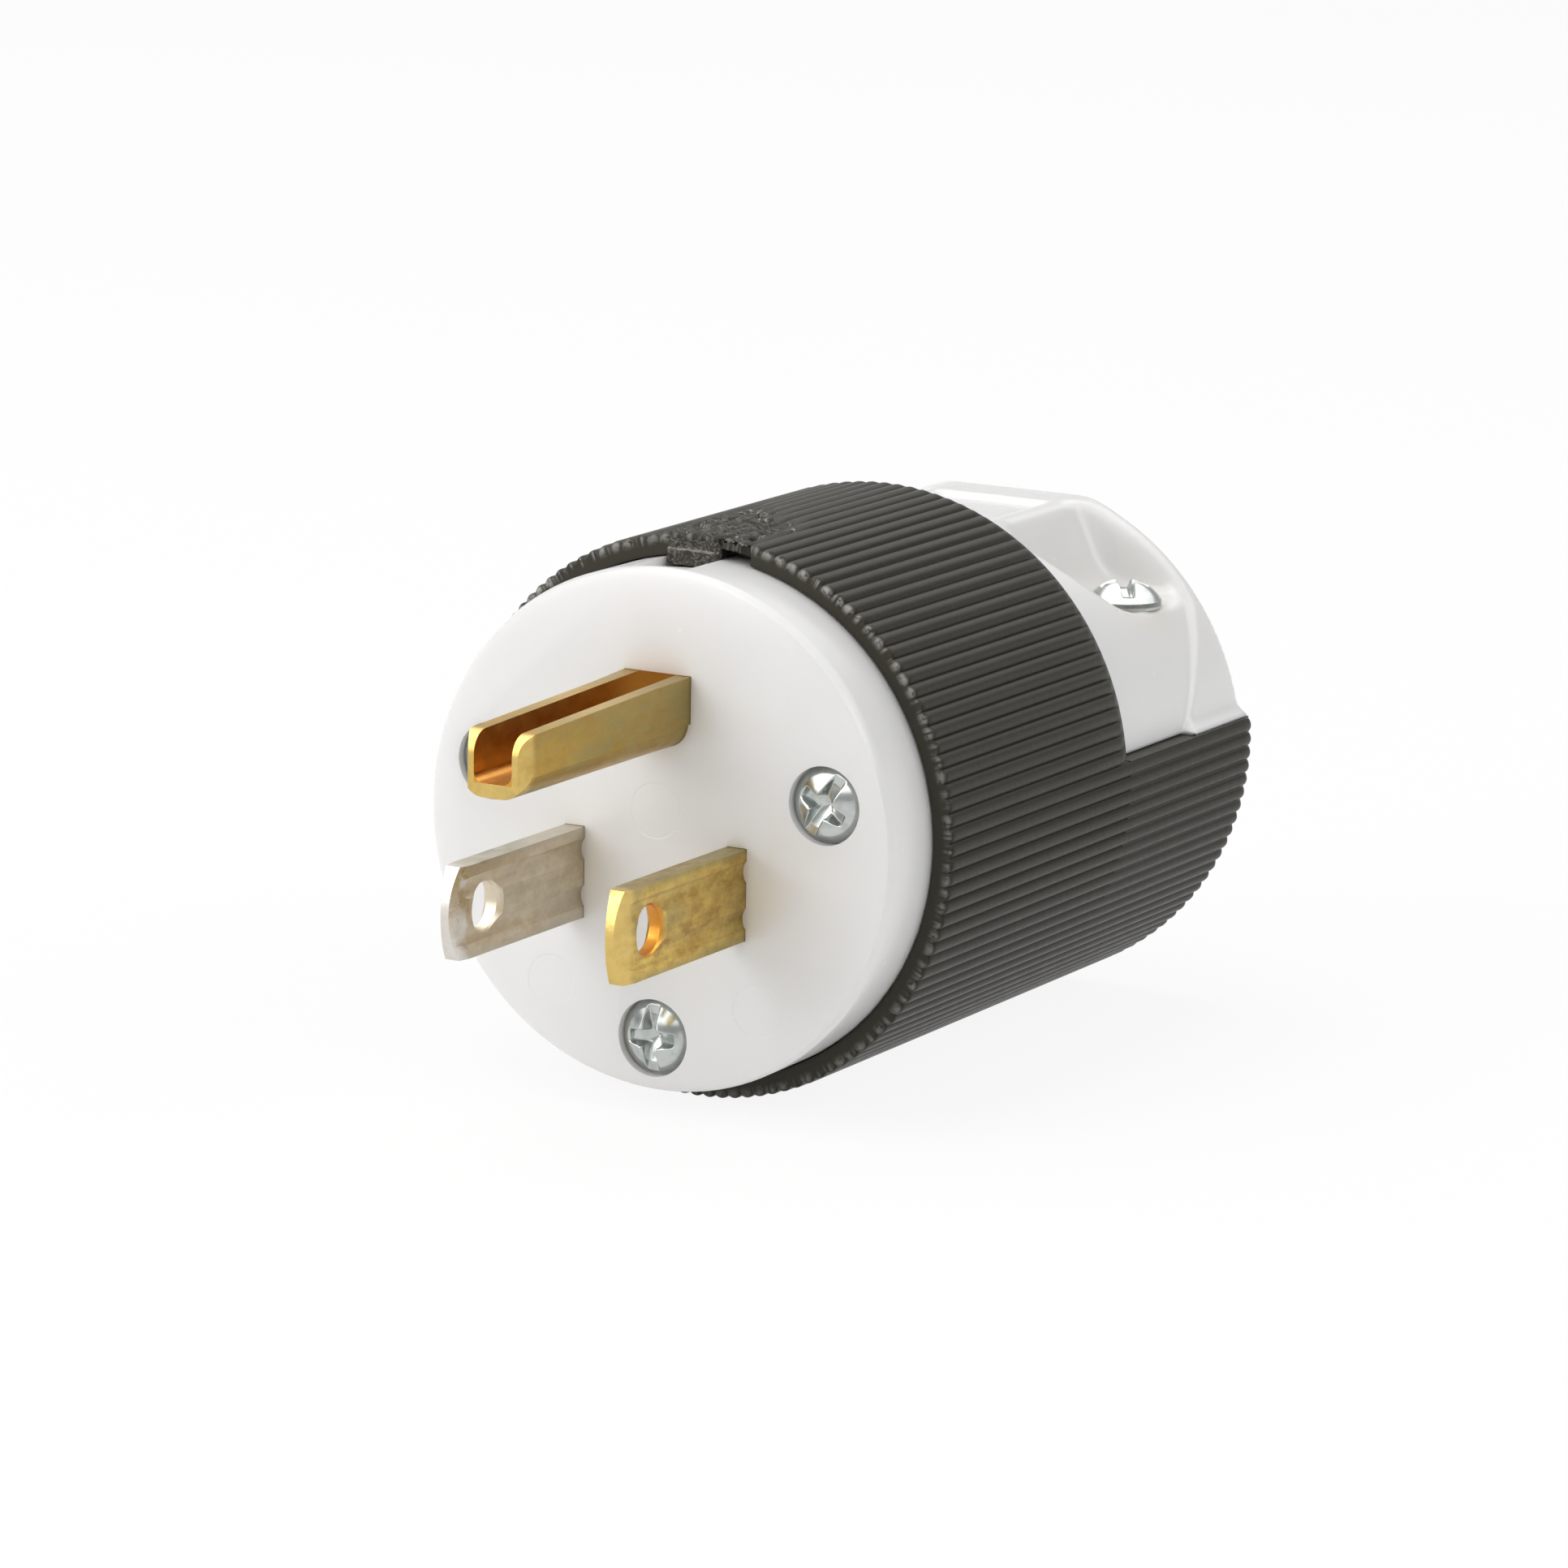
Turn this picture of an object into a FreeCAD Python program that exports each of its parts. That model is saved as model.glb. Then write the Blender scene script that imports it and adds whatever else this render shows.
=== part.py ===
"""Rewireable grounded mains plug with two flat blades and a U-shaped ground pin.

The origin is the centre of the front face, on the plug's axis. The prongs point to -Y, the cord
leaves to +Y and the ground pin is on top, towards +Z. All sizes are millimetres.
"""
import FreeCAD, Part
import math
import os
import re

import Sketcher

# Driving dimensions. Each one is written once, here.
SIZES = {
    # Front body
    "face_draft": 0.05,
    "face_corner": 0.75,
    "corner_cut": 0.29,
    "ring_front": 5.9,
    "seat_depth": 3.8,
    "body_clearance": 0.1,
    # Housing
    "crest_radius": 19.65,
    "ring_lip": 1.55,
    "rib_count": 120,
    "rib_depth": 0.35,
    "groove_width": 0.62,
    "groove_root": 0.16,
    "shell_wall": 2.6,
    "ring_length": 26.6,
    "cradle_length": 19.2,
    "split_height": 1.6,
    "end_wall": 2.6,
    "ring_edge": 0.5,
    "cradle_edge": 0.6,
    "cord_radius": 8.0,
    # Key that stops the front body from turning, and the worn pad behind it
    "key_width": 4.0,
    "key_shift": 0.75,
    "key_bite": 0.8,
    "key_sink": 0.45,
    "key_proud": 0.35,
    "key_length": 3.2,
    "key_clearance": 0.12,
    "notch_width": 2.3,
    "notch_depth": 1.5,
    "pad_angle": 26.0,
    "pad_length": 6.0,
    "pad_sink": 0.08,
    # Blades
    "blade_spacing": 12.7,
    "blade_width": 6.35,
    "blade_thick": 1.52,
    "blade_drop": 3.45,
    "blade_reach": 16.5,
    "tip_radius": 5.5,
    "bevel_length": 2.0,
    "tip_thick": 0.62,
    "blade_hole_reach": 12.3,
    "blade_hole_radius": 1.65,
    "hole_chamfer": 0.35,
    "flute_place": 1.62,
    "flute_half": 0.75,
    "flute_radius": 1.3,
    "shoulder_width": 9.4,
    "shoulder_length": 2.4,
    "prong_clearance": 0.03,
    # Ground pin
    "pin_height": 8.44,
    "pin_width": 4.8,
    "pin_sheet": 0.95,
    "pin_bend": 1.7,
    "pin_wall": 4.95,
    "pin_reach": 20.85,
    "pin_slope": 0.65,
    "pin_nose": 1.5,
    "pin_bevel": 0.5,
    "pin_flare": 0.2,
    "pin_flare_length": 4.5,
    "pin_shoulder": 8.4,
    # Terminals
    "retainer_thick": 4.0,
    "retainer_gap": 0.5,
    "barrier_wall": 1.4,
    "barrier_length": 6.4,
    "barrier_height": 1.6,
    "tail_length": 6.7,
    "terminal_place": 3.5,
    "terminal_radius": 1.6,
    "terminal_head": 2.8,
    "terminal_head_height": 2.1,
    "terminal_length": 4.4,
    "terminal_clearance": 0.06,
    "plate_thick": 1.0,
    "plate_length": 6.2,
    "plate_width": 6.6,
    # Face screws
    "side_screw_inset": 3.26,
    "side_screw_angle": 14.66,
    "low_screw_inset": 2.4,
    "screw_head": 2.65,
    "screw_head_height": 2.0,
    "screw_shank": 1.7,
    "screw_length": 22.5,
    "screw_clearance": 0.06,
    "head_recess": 1.3,
    "head_clearance": 0.05,
    "boss_bite": 0.2,
    "boss_room": 2.2,
    # Screw heads: the rim's share of the height, the crown's of the width, the point's of the shank
    "head_rim": 0.35,
    "head_crown": 0.6,
    "screw_point": 0.4,
    "slot_width": 0.9,
    "slot_depth": 1.0,
    "cross_width": 0.95,
    "cross_length": 3.3,
    # Cord clamp and its screws
    "arch_inset": 0.993,
    "top_height": 16.45,
    "top_half": 5.75,
    "ridge_half": 8.8,
    "clamp_gap": 0.3,
    "foot_inset": 0.1,
    "foot_lip": 0.15,
    "foot_rise": 0.9,
    "skirt_step": 0.35,
    "skirt_length": 8.9,
    "flange_thick": 1.6,
    "seat_height": 9.8,
    "pocket_radius": 8.6,
    "pocket_across": 6.5,
    "pocket_along": 6.1,
    "panel_half": 4.3,
    "panel_length": 10.5,
    "panel_depth": 0.45,
    "clamp_screw_across": 12.0,
    "clamp_screw_along": 6.2,
    "clamp_head": 2.65,
    "clamp_shank": 1.75,
    "clamp_screw_length": 18.5,
    "clamp_boss": 3.9,
    "boss_gap": 0.3,
    "tip_room": 0.5,
    "nut_size": 5.5,
    "nut_thick": 2.4,
    "nut_height": 4.6,
    "nut_clearance": 0.1,
    # Rubber ring at the cord hole
    "seal_thick": 2.0,
    "seal_gap": 0.3,
}

# Places and fits that follow from the driving dimensions.
RULES = {
    "seat_place": "ring_front + seat_depth",
    "bore_radius": "crest_radius - ring_lip",
    "body_radius": "bore_radius - body_clearance",
    "face_radius": "body_radius + face_draft",
    "root_radius": "crest_radius - rib_depth",
    "chamber_radius": "root_radius - shell_wall",
    "ring_rear": "ring_front + ring_length",
    "cradle_rear": "ring_rear + cradle_length",
    "wall_front": "ring_rear - end_wall",
    "retainer_rear": "seat_place + retainer_thick",
    "side_screw_reach": "chamber_radius - side_screw_inset",
    "side_screw_across": "side_screw_reach * cos(side_screw_angle)",
    "side_screw_height": "side_screw_reach * sin(side_screw_angle)",
    "low_screw_drop": "chamber_radius - low_screw_inset",
    "boss_radius": "side_screw_inset + boss_bite",
    "boss_length": "wall_front - seal_thick - boss_room - retainer_rear",
    "tail_end": "retainer_rear + tail_length",
    "terminal_spot": "retainer_rear + terminal_place",
    "shoulder_front": "seat_place - shoulder_length",
    "blade_face": "(blade_spacing + blade_thick) / 2",
    "tip_rise": "tip_radius - sqrt(tip_radius ^ 2 - (blade_width / 2) ^ 2)",
    "pin_bottom": "pin_height - pin_width / 2",
    "pin_floor": "pin_bottom + pin_sheet",
    "pin_top": "pin_bottom + pin_wall",
    "pin_half": "pin_width / 2",
    "pin_root": "pin_half + pin_flare",
    "key_bottom": "bore_radius - key_bite",
    "key_top": "crest_radius - key_sink",
    "key_left": "key_shift + key_width / 2",
    "key_right": "key_width / 2 - key_shift",
    "clamp_front": "ring_rear + clamp_gap",
    "clamp_screw_spot": "cradle_rear - clamp_screw_along",
    "flange_front": "cradle_rear - flange_thick",
    "edge_half": "sqrt(crest_radius ^ 2 - split_height ^ 2)",
    "arch_foot": "edge_half - arch_inset",
    "arch_square": "arch_foot ^ 2 + split_height ^ 2 - top_half ^ 2 - top_height ^ 2",
    "arch_drop": "arch_square / (2 * (top_height - split_height))",
    "arch_radius": "sqrt(top_half ^ 2 + (top_height + arch_drop) ^ 2)",
    "boss_top": "split_height - boss_gap",
    "boss_bottom": "shell_wall - root_radius",
    "clamp_tip": "seat_height - clamp_screw_length",
}
LONG = "4 * (ring_length + cradle_length)"

doc = FreeCAD.newDocument("GroundedPlug")
sheet = doc.addObject("Spreadsheet::Sheet", "Sizes")
for row, (alias, size) in enumerate(SIZES.items(), start=1):
    sheet.set("A%d" % row, alias)
    sheet.set("B%d" % row, str(size))
    sheet.setAlias("B%d" % row, alias)
doc.recompute()


def bound(text):
    """Point each size in an expression at its cell, and write out each rule."""
    def point(match):
        word = match.group()
        if word in SIZES:
            return "Sizes." + word
        if word in RULES:
            return "(" + bound(RULES[word]) + ")"
        return word
    return re.sub(r"[a-z][a-z_]*", point, text)


def value(text):
    """Give an expression's number at the present sizes."""
    return float(sheet.evalExpression(bound(text)))


def minus(text):
    """Turn an expression's sign."""
    return "-(" + text + ")"


# Sketches on the origin planes

def new_body(label):
    """Start one piece, whose label names its file."""
    body = doc.addObject("PartDesign::Body", label)
    body.Label = label
    return body


def sketch_on(body, role, offset):
    """Attach an empty sketch to one of the body's origin planes, moved along the plane's normal."""
    plane = next(item for item in body.Origin.OriginFeatures if item.Role == role)
    sketch = body.newObject("Sketcher::SketchObject", body.Label + "_sketch")
    sketch.AttachmentSupport = (plane, [""])
    sketch.MapMode = "FlatFace"
    sketch.setExpression("AttachmentOffset.Base.z", bound(offset))
    return sketch


def across(body, place="0"):
    """Sketch in X and Z, square to the plug's axis, at a place along it."""
    return sketch_on(body, "XZ_Plane", minus(place))


def plan(body, height="0"):
    """Sketch in X and Y, seen from above, at a height."""
    return sketch_on(body, "XY_Plane", height)


def side(body, place="0"):
    """Sketch in Y and Z, seen from the side, at a place along X."""
    return sketch_on(body, "YZ_Plane", place)


def tie(sketch, kind, *rest):
    """Add a constraint whose last item is an expression."""
    index = sketch.addConstraint(Sketcher.Constraint(kind, *rest[:-1], value(rest[-1])))
    sketch.setExpression("Constraints[%d]" % index, bound(rest[-1]))


def place_point(sketch, curve, end, x, y):
    """Fix a point of a curve at its distances from the sketch's origin."""
    tie(sketch, "DistanceX", -1, 1, curve, end, x)
    tie(sketch, "DistanceY", -1, 1, curve, end, y)


def add_arc(sketch, start, finish, radius, turn):
    """Add the short arc from start to finish, turning left or right, and give its curve and ends."""
    half = (finish - start) * 0.5
    reach = value(radius)
    rise = math.sqrt(max(reach ** 2 - half.Length ** 2, 0.0))
    left = FreeCAD.Vector(-half.y, half.x, 0).normalize()
    sign = 1 if turn == "left" else -1
    centre = start + half + left * rise * sign
    first, last = (start, finish) if turn == "left" else (finish, start)
    angles = [math.atan2(spot.y - centre.y, spot.x - centre.x) for spot in (first, last)]
    circle = Part.Circle(centre, FreeCAD.Vector(0, 0, 1), reach)
    curve = sketch.addGeometry(Part.ArcOfCircle(circle, angles[0], angles[1]))
    return (curve, 1, 2) if turn == "left" else (curve, 2, 1)


def outline(sketch, corners, arcs=None):
    """Draw a closed outline. arcs maps a corner to the radius and turn of the arc that leaves it."""
    arcs = arcs or {}
    spots = [FreeCAD.Vector(value(x), value(y), 0) for x, y in corners]
    runs = []
    for index, start in enumerate(spots):
        finish = spots[(index + 1) % len(spots)]
        if index in arcs:
            runs.append(add_arc(sketch, start, finish, *arcs[index]))
        else:
            runs.append((sketch.addGeometry(Part.LineSegment(start, finish)), 1, 2))
    for before, after in zip(runs[-1:] + runs[:-1], runs):
        sketch.addConstraint(Sketcher.Constraint("Coincident", before[0], before[2], after[0], after[1]))
    for run, (x, y) in zip(runs, corners):
        place_point(sketch, run[0], run[1], x, y)
    for index, (radius, _) in arcs.items():
        tie(sketch, "Radius", runs[index][0], radius)
    return sketch


def rectangle(sketch, low, high):
    """Draw a rectangle from its low corner to its high corner."""
    (x_low, y_low), (x_high, y_high) = low, high
    return outline(sketch, [(x_low, y_low), (x_high, y_low), (x_high, y_high), (x_low, y_high)])


def circle(sketch, x, y, radius):
    """Draw a circle about a point."""
    shape = Part.Circle(FreeCAD.Vector(value(x), value(y), 0), FreeCAD.Vector(0, 0, 1), value(radius))
    curve = sketch.addGeometry(shape)
    place_point(sketch, curve, 3, x, y)
    tie(sketch, "Radius", curve, radius)
    return sketch


# Features

def volume(body):
    """Give a body's volume, which is nothing before its first feature."""
    return 0.0 if body.Shape.isNull() else body.Shape.Volume


def swept(body, kind, sketch, length, way):
    """Push a sketch along its normal: way is ahead, back or both."""
    feature = body.newObject("PartDesign::" + kind, body.Label + "_" + kind.lower())
    feature.Profile = sketch
    feature.SideType = "Symmetric" if way == "both" else "One side"
    feature.Reversed = way == "back"
    feature.setExpression("Length", bound(length))
    return feature


def pad(body, sketch, length, way="ahead"):
    """Add material along the sketch's normal (on a cross section, ahead is towards the prongs)."""
    feature = swept(body, "Pad", sketch, length, way)
    doc.recompute()
    return feature


def cut(body, sketch, length, way="ahead"):
    """Cut against the sketch's normal (on a cross section, ahead is towards the cord), and prove it cut."""
    before = volume(body)
    feature = swept(body, "Pocket", sketch, length, way)
    doc.recompute()
    if not volume(body) < before:
        raise RuntimeError("A cut in %s removed nothing" % body.Label)
    return feature


def turned(body, sketch, kind="Revolution", axis="V_Axis"):
    """Turn a sketch once round one of its own axes."""
    before = volume(body)
    feature = body.newObject("PartDesign::" + kind, body.Label + "_" + kind.lower())
    feature.Profile = sketch
    feature.ReferenceAxis = (sketch, [axis])
    feature.Angle = 360
    doc.recompute()
    if kind == "Groove" and not volume(body) < before:
        raise RuntimeError("A groove in %s removed nothing" % body.Label)
    return feature


def drill(body, spots, radius, place, length, way="ahead"):
    """Cut round holes along the plug's axis."""
    sketch = across(body, place)
    for x, z in spots:
        circle(sketch, x, z, radius)
    return cut(body, sketch, length, way)


def axis_line(sketch, start, finish):
    """Add a construction line to turn about, and give its axis name."""
    ends = [FreeCAD.Vector(value(x), value(y), 0) for x, y in (start, finish)]
    line = sketch.addGeometry(Part.LineSegment(*ends), True)
    place_point(sketch, line, 1, *start)
    place_point(sketch, line, 2, *finish)
    return "Axis0"


# Placing and joining

def put(item, x, y, z):
    """Bind an object's place to expressions."""
    for axis, text in (("x", x), ("y", y), ("z", z)):
        item.setExpression("Placement.Base." + axis, bound(text))


def turn_about(item, axis, degrees):
    """Turn an object about an axis through its own origin."""
    along = FreeCAD.Vector(axis == "X", axis == "Y", axis == "Z")
    item.Placement = FreeCAD.Placement(item.Placement.Base, FreeCAD.Rotation(along, degrees))


def join(name, items):
    """Fuse objects into one."""
    fused = doc.addObject("Part::MultiFuse", name)
    fused.Shapes = items
    return fused


def group(label, items):
    """Keep like pieces together as separate solids of one node."""
    together = doc.addObject("Part::Compound", label)
    together.Links = items
    doc.recompute()
    return together


FACE_SCREWS = [
    ("side_screw_across", "side_screw_height"),
    ("-side_screw_across", "side_screw_height"),
    ("0", "-low_screw_drop"),
]
CLAMP_SCREWS = ["clamp_screw_across", "-clamp_screw_across"]
# How far each face screw happened to stop from upright, in degrees.
SLOT_TURNS = [-30, 20, 0]


# White face that carries the prongs

def make_front_body():
    """Round face with slots for the prongs, pockets behind for their shoulders and a keyway."""
    body = new_body("front_body")
    profile = [
        ("0", "0"), ("face_radius - face_corner", "0"),
        ("face_radius - corner_cut * face_corner", "corner_cut * face_corner"),
        ("face_radius", "face_corner"), ("body_radius", "ring_front"),
        ("body_radius", "seat_place"), ("0", "seat_place"),
    ]
    turned(body, outline(plan(body), profile))
    behind = "shoulder_front - prong_clearance"
    for sign in ("", "-"):
        slot = blade_opening(across(body), sign, "blade_width / 2")
        cut(body, slot, LONG, "both")
        pocket = blade_opening(across(body, behind), sign, "shoulder_width / 2")
        cut(body, pocket, "seat_place")
    cut(body, pin_slot(across(body)), LONG, "both")
    cut(body, pin_opening(across(body, behind), "pin_shoulder / 2", "pin_floor"), "seat_place")
    drill(body, FACE_SCREWS, "screw_shank + screw_clearance", "0", LONG, "both")
    drill(body, FACE_SCREWS, "screw_head + head_clearance", "0", "head_recess")
    keyway = rectangle(
        across(body, "ring_front - key_proud - key_clearance"),
        ("-key_left - key_clearance", "key_bottom - key_clearance"),
        ("key_right + key_clearance", "crest_radius"),
    )
    cut(body, keyway, "seat_place")
    return body


def blade_opening(sketch, sign, half_width):
    """Rectangle round one blade, with the prongs' clearance all round."""
    centre = sign + "blade_spacing / 2"
    half_thick = "blade_thick / 2 + prong_clearance"
    half_width = half_width + " + prong_clearance"
    return rectangle(
        sketch,
        (centre + " - (%s)" % half_thick, "-blade_drop - (%s)" % half_width),
        (centre + " + (%s)" % half_thick, "-blade_drop + (%s)" % half_width),
    )


def pin_slot(sketch):
    """Outline of the ground pin's root, round below, with the prongs' clearance all round."""
    flat = "pin_half - pin_bend"
    low = "pin_bottom - prong_clearance"
    bend_top = "pin_bottom + pin_bend"
    side_half = "pin_half + prong_clearance"
    root_half = "pin_root + prong_clearance"
    top = "pin_top + prong_clearance"
    bend = "pin_bend + prong_clearance"
    corners = [
        (minus(flat), low), (flat, low), (side_half, bend_top), (root_half, bend_top), (root_half, top),
        (minus(root_half), top), (minus(root_half), bend_top), (minus(side_half), bend_top),
    ]
    return outline(sketch, corners, {1: (bend, "left"), 7: (bend, "left")})


def pin_opening(sketch, half_width, top):
    """Rectangle round the ground pin's flat tail or shoulders, with the prongs' clearance all round."""
    return rectangle(
        sketch,
        ("-(%s) - prong_clearance" % half_width, "pin_bottom - prong_clearance"),
        ("%s + prong_clearance" % half_width, top + " + prong_clearance"),
    )


# Prongs

def make_blade(label, sign):
    """Flat blade: fluted section, round bevelled tip, lock hole, shoulders and a terminal tail."""
    body = new_body(label)
    face = "blade_thick / 2"
    edge = "blade_width / 2"
    steps = [
        minus("flute_place + flute_half"), minus("flute_place - flute_half"),
        "flute_place - flute_half", "flute_place + flute_half",
    ]
    corners = [(minus(face), minus(edge)), (face, minus(edge))]
    corners += [(face, step) for step in steps]
    corners += [(face, edge), (minus(face), edge)]
    corners += [(minus(face), step) for step in reversed(steps)]
    flutes = {index: ("flute_radius", "right") for index in (2, 4, 8, 10)}
    pad(body, outline(across(body, "tail_end"), corners, flutes), "tail_end + blade_reach")
    shoulders = rectangle(
        across(body, "seat_place"),
        (minus(face), "-shoulder_width / 2"), (face, "shoulder_width / 2"))
    pad(body, shoulders, "shoulder_length")
    trim_tip(body)
    lock_hole = circle(side(body), "-blade_hole_reach", "0", "blade_hole_radius")
    cut(body, lock_hole, LONG, "both")
    countersink(body)
    terminal = circle(side(body), "terminal_spot", "0", "terminal_radius + terminal_clearance")
    cut(body, terminal, LONG, "both")
    put(body, sign + "blade_spacing / 2", "0", "-blade_drop")
    return body


def trim_tip(body):
    """Round the blade's end in side view, and thin both its faces towards the end."""
    edge = "blade_width / 2"
    corner = "-blade_reach + tip_rise"
    past = "-blade_reach - tip_rise"
    waste = [(corner, minus(edge)), (corner, edge), (past, edge), (past, minus(edge))]
    cut(body, outline(side(body), waste, {0: ("tip_radius", "right")}), LONG, "both")
    bevels = plan(body)
    for sign in ("", "-"):
        wedge = [
            (sign + "blade_thick / 2", "-blade_reach + bevel_length"),
            (sign + "tip_thick / 2", "-blade_reach"),
            (sign + "blade_thick / 2", "-blade_reach"),
        ]
        outline(bevels, wedge)
    cut(body, bevels, LONG, "both")


def countersink(body):
    """Widen the lock hole's rims on both faces with one turned groove."""
    sketch = plan(body)
    line = axis_line(sketch, ("0", "-blade_hole_reach"), ("blade_width", "-blade_hole_reach"))
    rim = "-blade_hole_reach + blade_hole_radius"
    for sign in ("", "-"):
        ring = [
            (sign + "(blade_thick / 2 - hole_chamfer)", rim),
            (sign + "blade_thick / 2", rim + " + hole_chamfer"),
            (sign + "blade_thick / 2", rim),
        ]
        outline(sketch, ring)
    turned(body, sketch, "Groove", line)


def make_ground_pin():
    """U-shaped pin folded from sheet, flared at its root, with a flat tail for its terminal."""
    body = new_body("ground_pin")
    inner = "pin_half - pin_sheet"
    inner_bend = "pin_bend - pin_sheet"
    bend_top = "pin_bottom + pin_bend"
    bend_start = "pin_half - pin_bend"
    corners = [
        (minus(bend_start), "pin_bottom"), (bend_start, "pin_bottom"), ("pin_half", bend_top),
        ("pin_half", "pin_top"), (inner, "pin_top"), (inner, bend_top), (bend_start, "pin_floor"),
        (minus(bend_start), "pin_floor"), (minus(inner), bend_top), (minus(inner), "pin_top"),
        ("-pin_half", "pin_top"), ("-pin_half", bend_top),
    ]
    bends = {
        1: ("pin_bend", "left"), 5: (inner_bend, "right"),
        7: (inner_bend, "right"), 11: ("pin_bend", "left"),
    }
    pad(body, outline(across(body, "seat_place"), corners, bends), "seat_place + pin_reach")
    for sign in ("", "-"):
        flare = [
            (sign + "pin_half", "-pin_flare_length"), (sign + "pin_root", "0"),
            (sign + "pin_root", "shoulder_front"), (sign + "pin_half", "shoulder_front"),
        ]
        pad(body, outline(plan(body, bend_top), flare), "pin_top - pin_bottom - pin_bend")
    tail = rectangle(across(body, "tail_end"), ("-pin_half", "pin_bottom"), ("pin_half", "pin_floor"))
    pad(body, tail, "tail_length + retainer_thick + shoulder_length")
    shoulders = rectangle(
        across(body, "seat_place"),
        ("-pin_shoulder / 2", "pin_bottom"), ("pin_shoulder / 2", "pin_floor"))
    pad(body, shoulders, "shoulder_length")
    shape_nose(body)
    terminal = circle(plan(body), "0", "terminal_spot", "terminal_radius + terminal_clearance")
    cut(body, terminal, LONG, "both")
    return body


def shape_nose(body):
    """Slope the pin's walls down to a rounded nose, and bevel its end from both sides."""
    nose_top = "pin_top - pin_slope"
    past = "-pin_reach - pin_nose"
    above = "pin_top + pin_nose"
    slope = [
        ("0", "pin_top"), ("-pin_reach + pin_nose", nose_top), ("-pin_reach", nose_top + " - pin_nose"),
        (past, nose_top + " - pin_nose"), (past, above), ("0", above),
    ]
    cut(body, outline(side(body), slope, {1: ("pin_nose", "left")}), LONG, "both")
    bevels = plan(body)
    for sign in ("", "-"):
        wedge = [
            (sign + "pin_half", "-pin_reach + 2 * pin_bevel"),
            (sign + "(pin_half - pin_bevel)", "-pin_reach"),
            (sign + "pin_half", "-pin_reach"),
        ]
        outline(bevels, wedge)
    cut(body, bevels, LONG, "both")


# Terminals behind the front body

def make_terminal_retainer():
    """Plate behind the front body that traps the prongs, with barriers between the terminals."""
    body = new_body("terminal_retainer")
    disc = circle(across(body, "retainer_rear"), "0", "0", "chamber_radius - retainer_gap")
    pad(body, disc, "retainer_thick")
    upright = rectangle(
        across(body, "retainer_rear"),
        ("-barrier_wall / 2", "-low_screw_drop + boss_radius + retainer_gap"),
        ("barrier_wall / 2", "barrier_height + barrier_wall / 2"),
    )
    pad(body, upright, "barrier_length", "back")
    reach = "side_screw_across - boss_radius - retainer_gap"
    level = rectangle(
        across(body, "retainer_rear"),
        (minus(reach), "barrier_height"), (reach, "barrier_height + barrier_wall"))
    pad(body, level, "barrier_length", "back")
    for sign in ("", "-"):
        cut(body, blade_opening(across(body), sign, "blade_width / 2"), LONG, "both")
    cut(body, pin_opening(across(body), "pin_half", "pin_floor"), LONG, "both")
    drill(body, FACE_SCREWS, "screw_shank + screw_clearance", "0", LONG, "both")
    return body


def make_blade_plate(label, sign):
    """Pressure plate that lies on the outer face of a blade's tail."""
    body = new_body(label)
    blank = rectangle(
        side(body),
        ("-plate_length / 2", "-plate_width / 2"), ("plate_length / 2", "plate_width / 2"))
    circle(blank, "0", "0", "terminal_radius + terminal_clearance")
    pad(body, blank, "plate_thick", "both")
    put(body, sign + "(blade_face + plate_thick / 2)", "terminal_spot", "-blade_drop")
    return body


def make_ground_plate():
    """Pressure plate that lies on the ground pin's tail."""
    body = new_body("ground_pressure_plate")
    blank = rectangle(
        plan(body),
        ("-plate_width / 2", "-plate_length / 2"), ("plate_width / 2", "plate_length / 2"))
    circle(blank, "0", "0", "terminal_radius + terminal_clearance")
    pad(body, blank, "plate_thick", "both")
    put(body, "0", "terminal_spot", "pin_floor + plate_thick / 2")
    return body


# Screws and nuts

def make_screw(label, head, height, shank, length, crowned):
    """Slotted screw along its own Y, with the head's seat at the origin and the head towards -Y.

    A crowned head also has a cross, for either driver. The others are flat.
    """
    body = new_body(label)
    point = "screw_point * " + shank
    top = [("0", "-" + height), (head, "-" + height)]
    if crowned:
        top = [top[0], ("head_crown * " + head, "-" + height), (head, "-head_rim * " + height)]
    below = [
        (head, "0"), (shank, "0"), (shank, length + " - " + point),
        (shank + " - " + point, length), ("0", length),
    ]
    turned(body, outline(plan(body), top + below))
    slot = rectangle(
        across(body, "-" + height), ("-slot_width / 2", "-" + head), ("slot_width / 2", head))
    cut(body, slot, "slot_depth")
    if crowned:
        bar = rectangle(
            across(body, "-" + height),
            ("-cross_length / 2", "-cross_width / 2"), ("cross_length / 2", "cross_width / 2"))
        cut(body, bar, "slot_depth")
    return body


def make_face_screws():
    """Three screws that hold the face, the retainer and the housing together."""
    screws = []
    for index, (x, z) in enumerate(FACE_SCREWS):
        screw = make_screw(
            "face_screw_%d" % index, "screw_head", "screw_head_height",
            "screw_shank", "screw_length", True)
        turn_about(screw, "Y", SLOT_TURNS[index])
        put(screw, x, "head_recess", z)
        screws.append(screw)
    return group("face_screws", screws)


def make_clamp_screws():
    """Two upright screws that pull the cord clamp down."""
    screws = []
    for index, x in enumerate(CLAMP_SCREWS):
        screw = make_screw(
            "clamp_screw_%d" % index, "clamp_head", "screw_head_height",
            "clamp_shank", "clamp_screw_length", True)
        turn_about(screw, "X", -90)
        put(screw, x, "clamp_screw_spot", "seat_height")
        screws.append(screw)
    return group("clamp_screws", screws)


def make_terminal_screw(label, axis, turn, x, z):
    """Slotted screw through a pressure plate and the tail under it."""
    screw = make_screw(
        label, "terminal_head", "terminal_head_height", "terminal_radius", "terminal_length", False)
    turn_about(screw, axis, turn)
    put(screw, x, "terminal_spot", z)
    return screw


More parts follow.
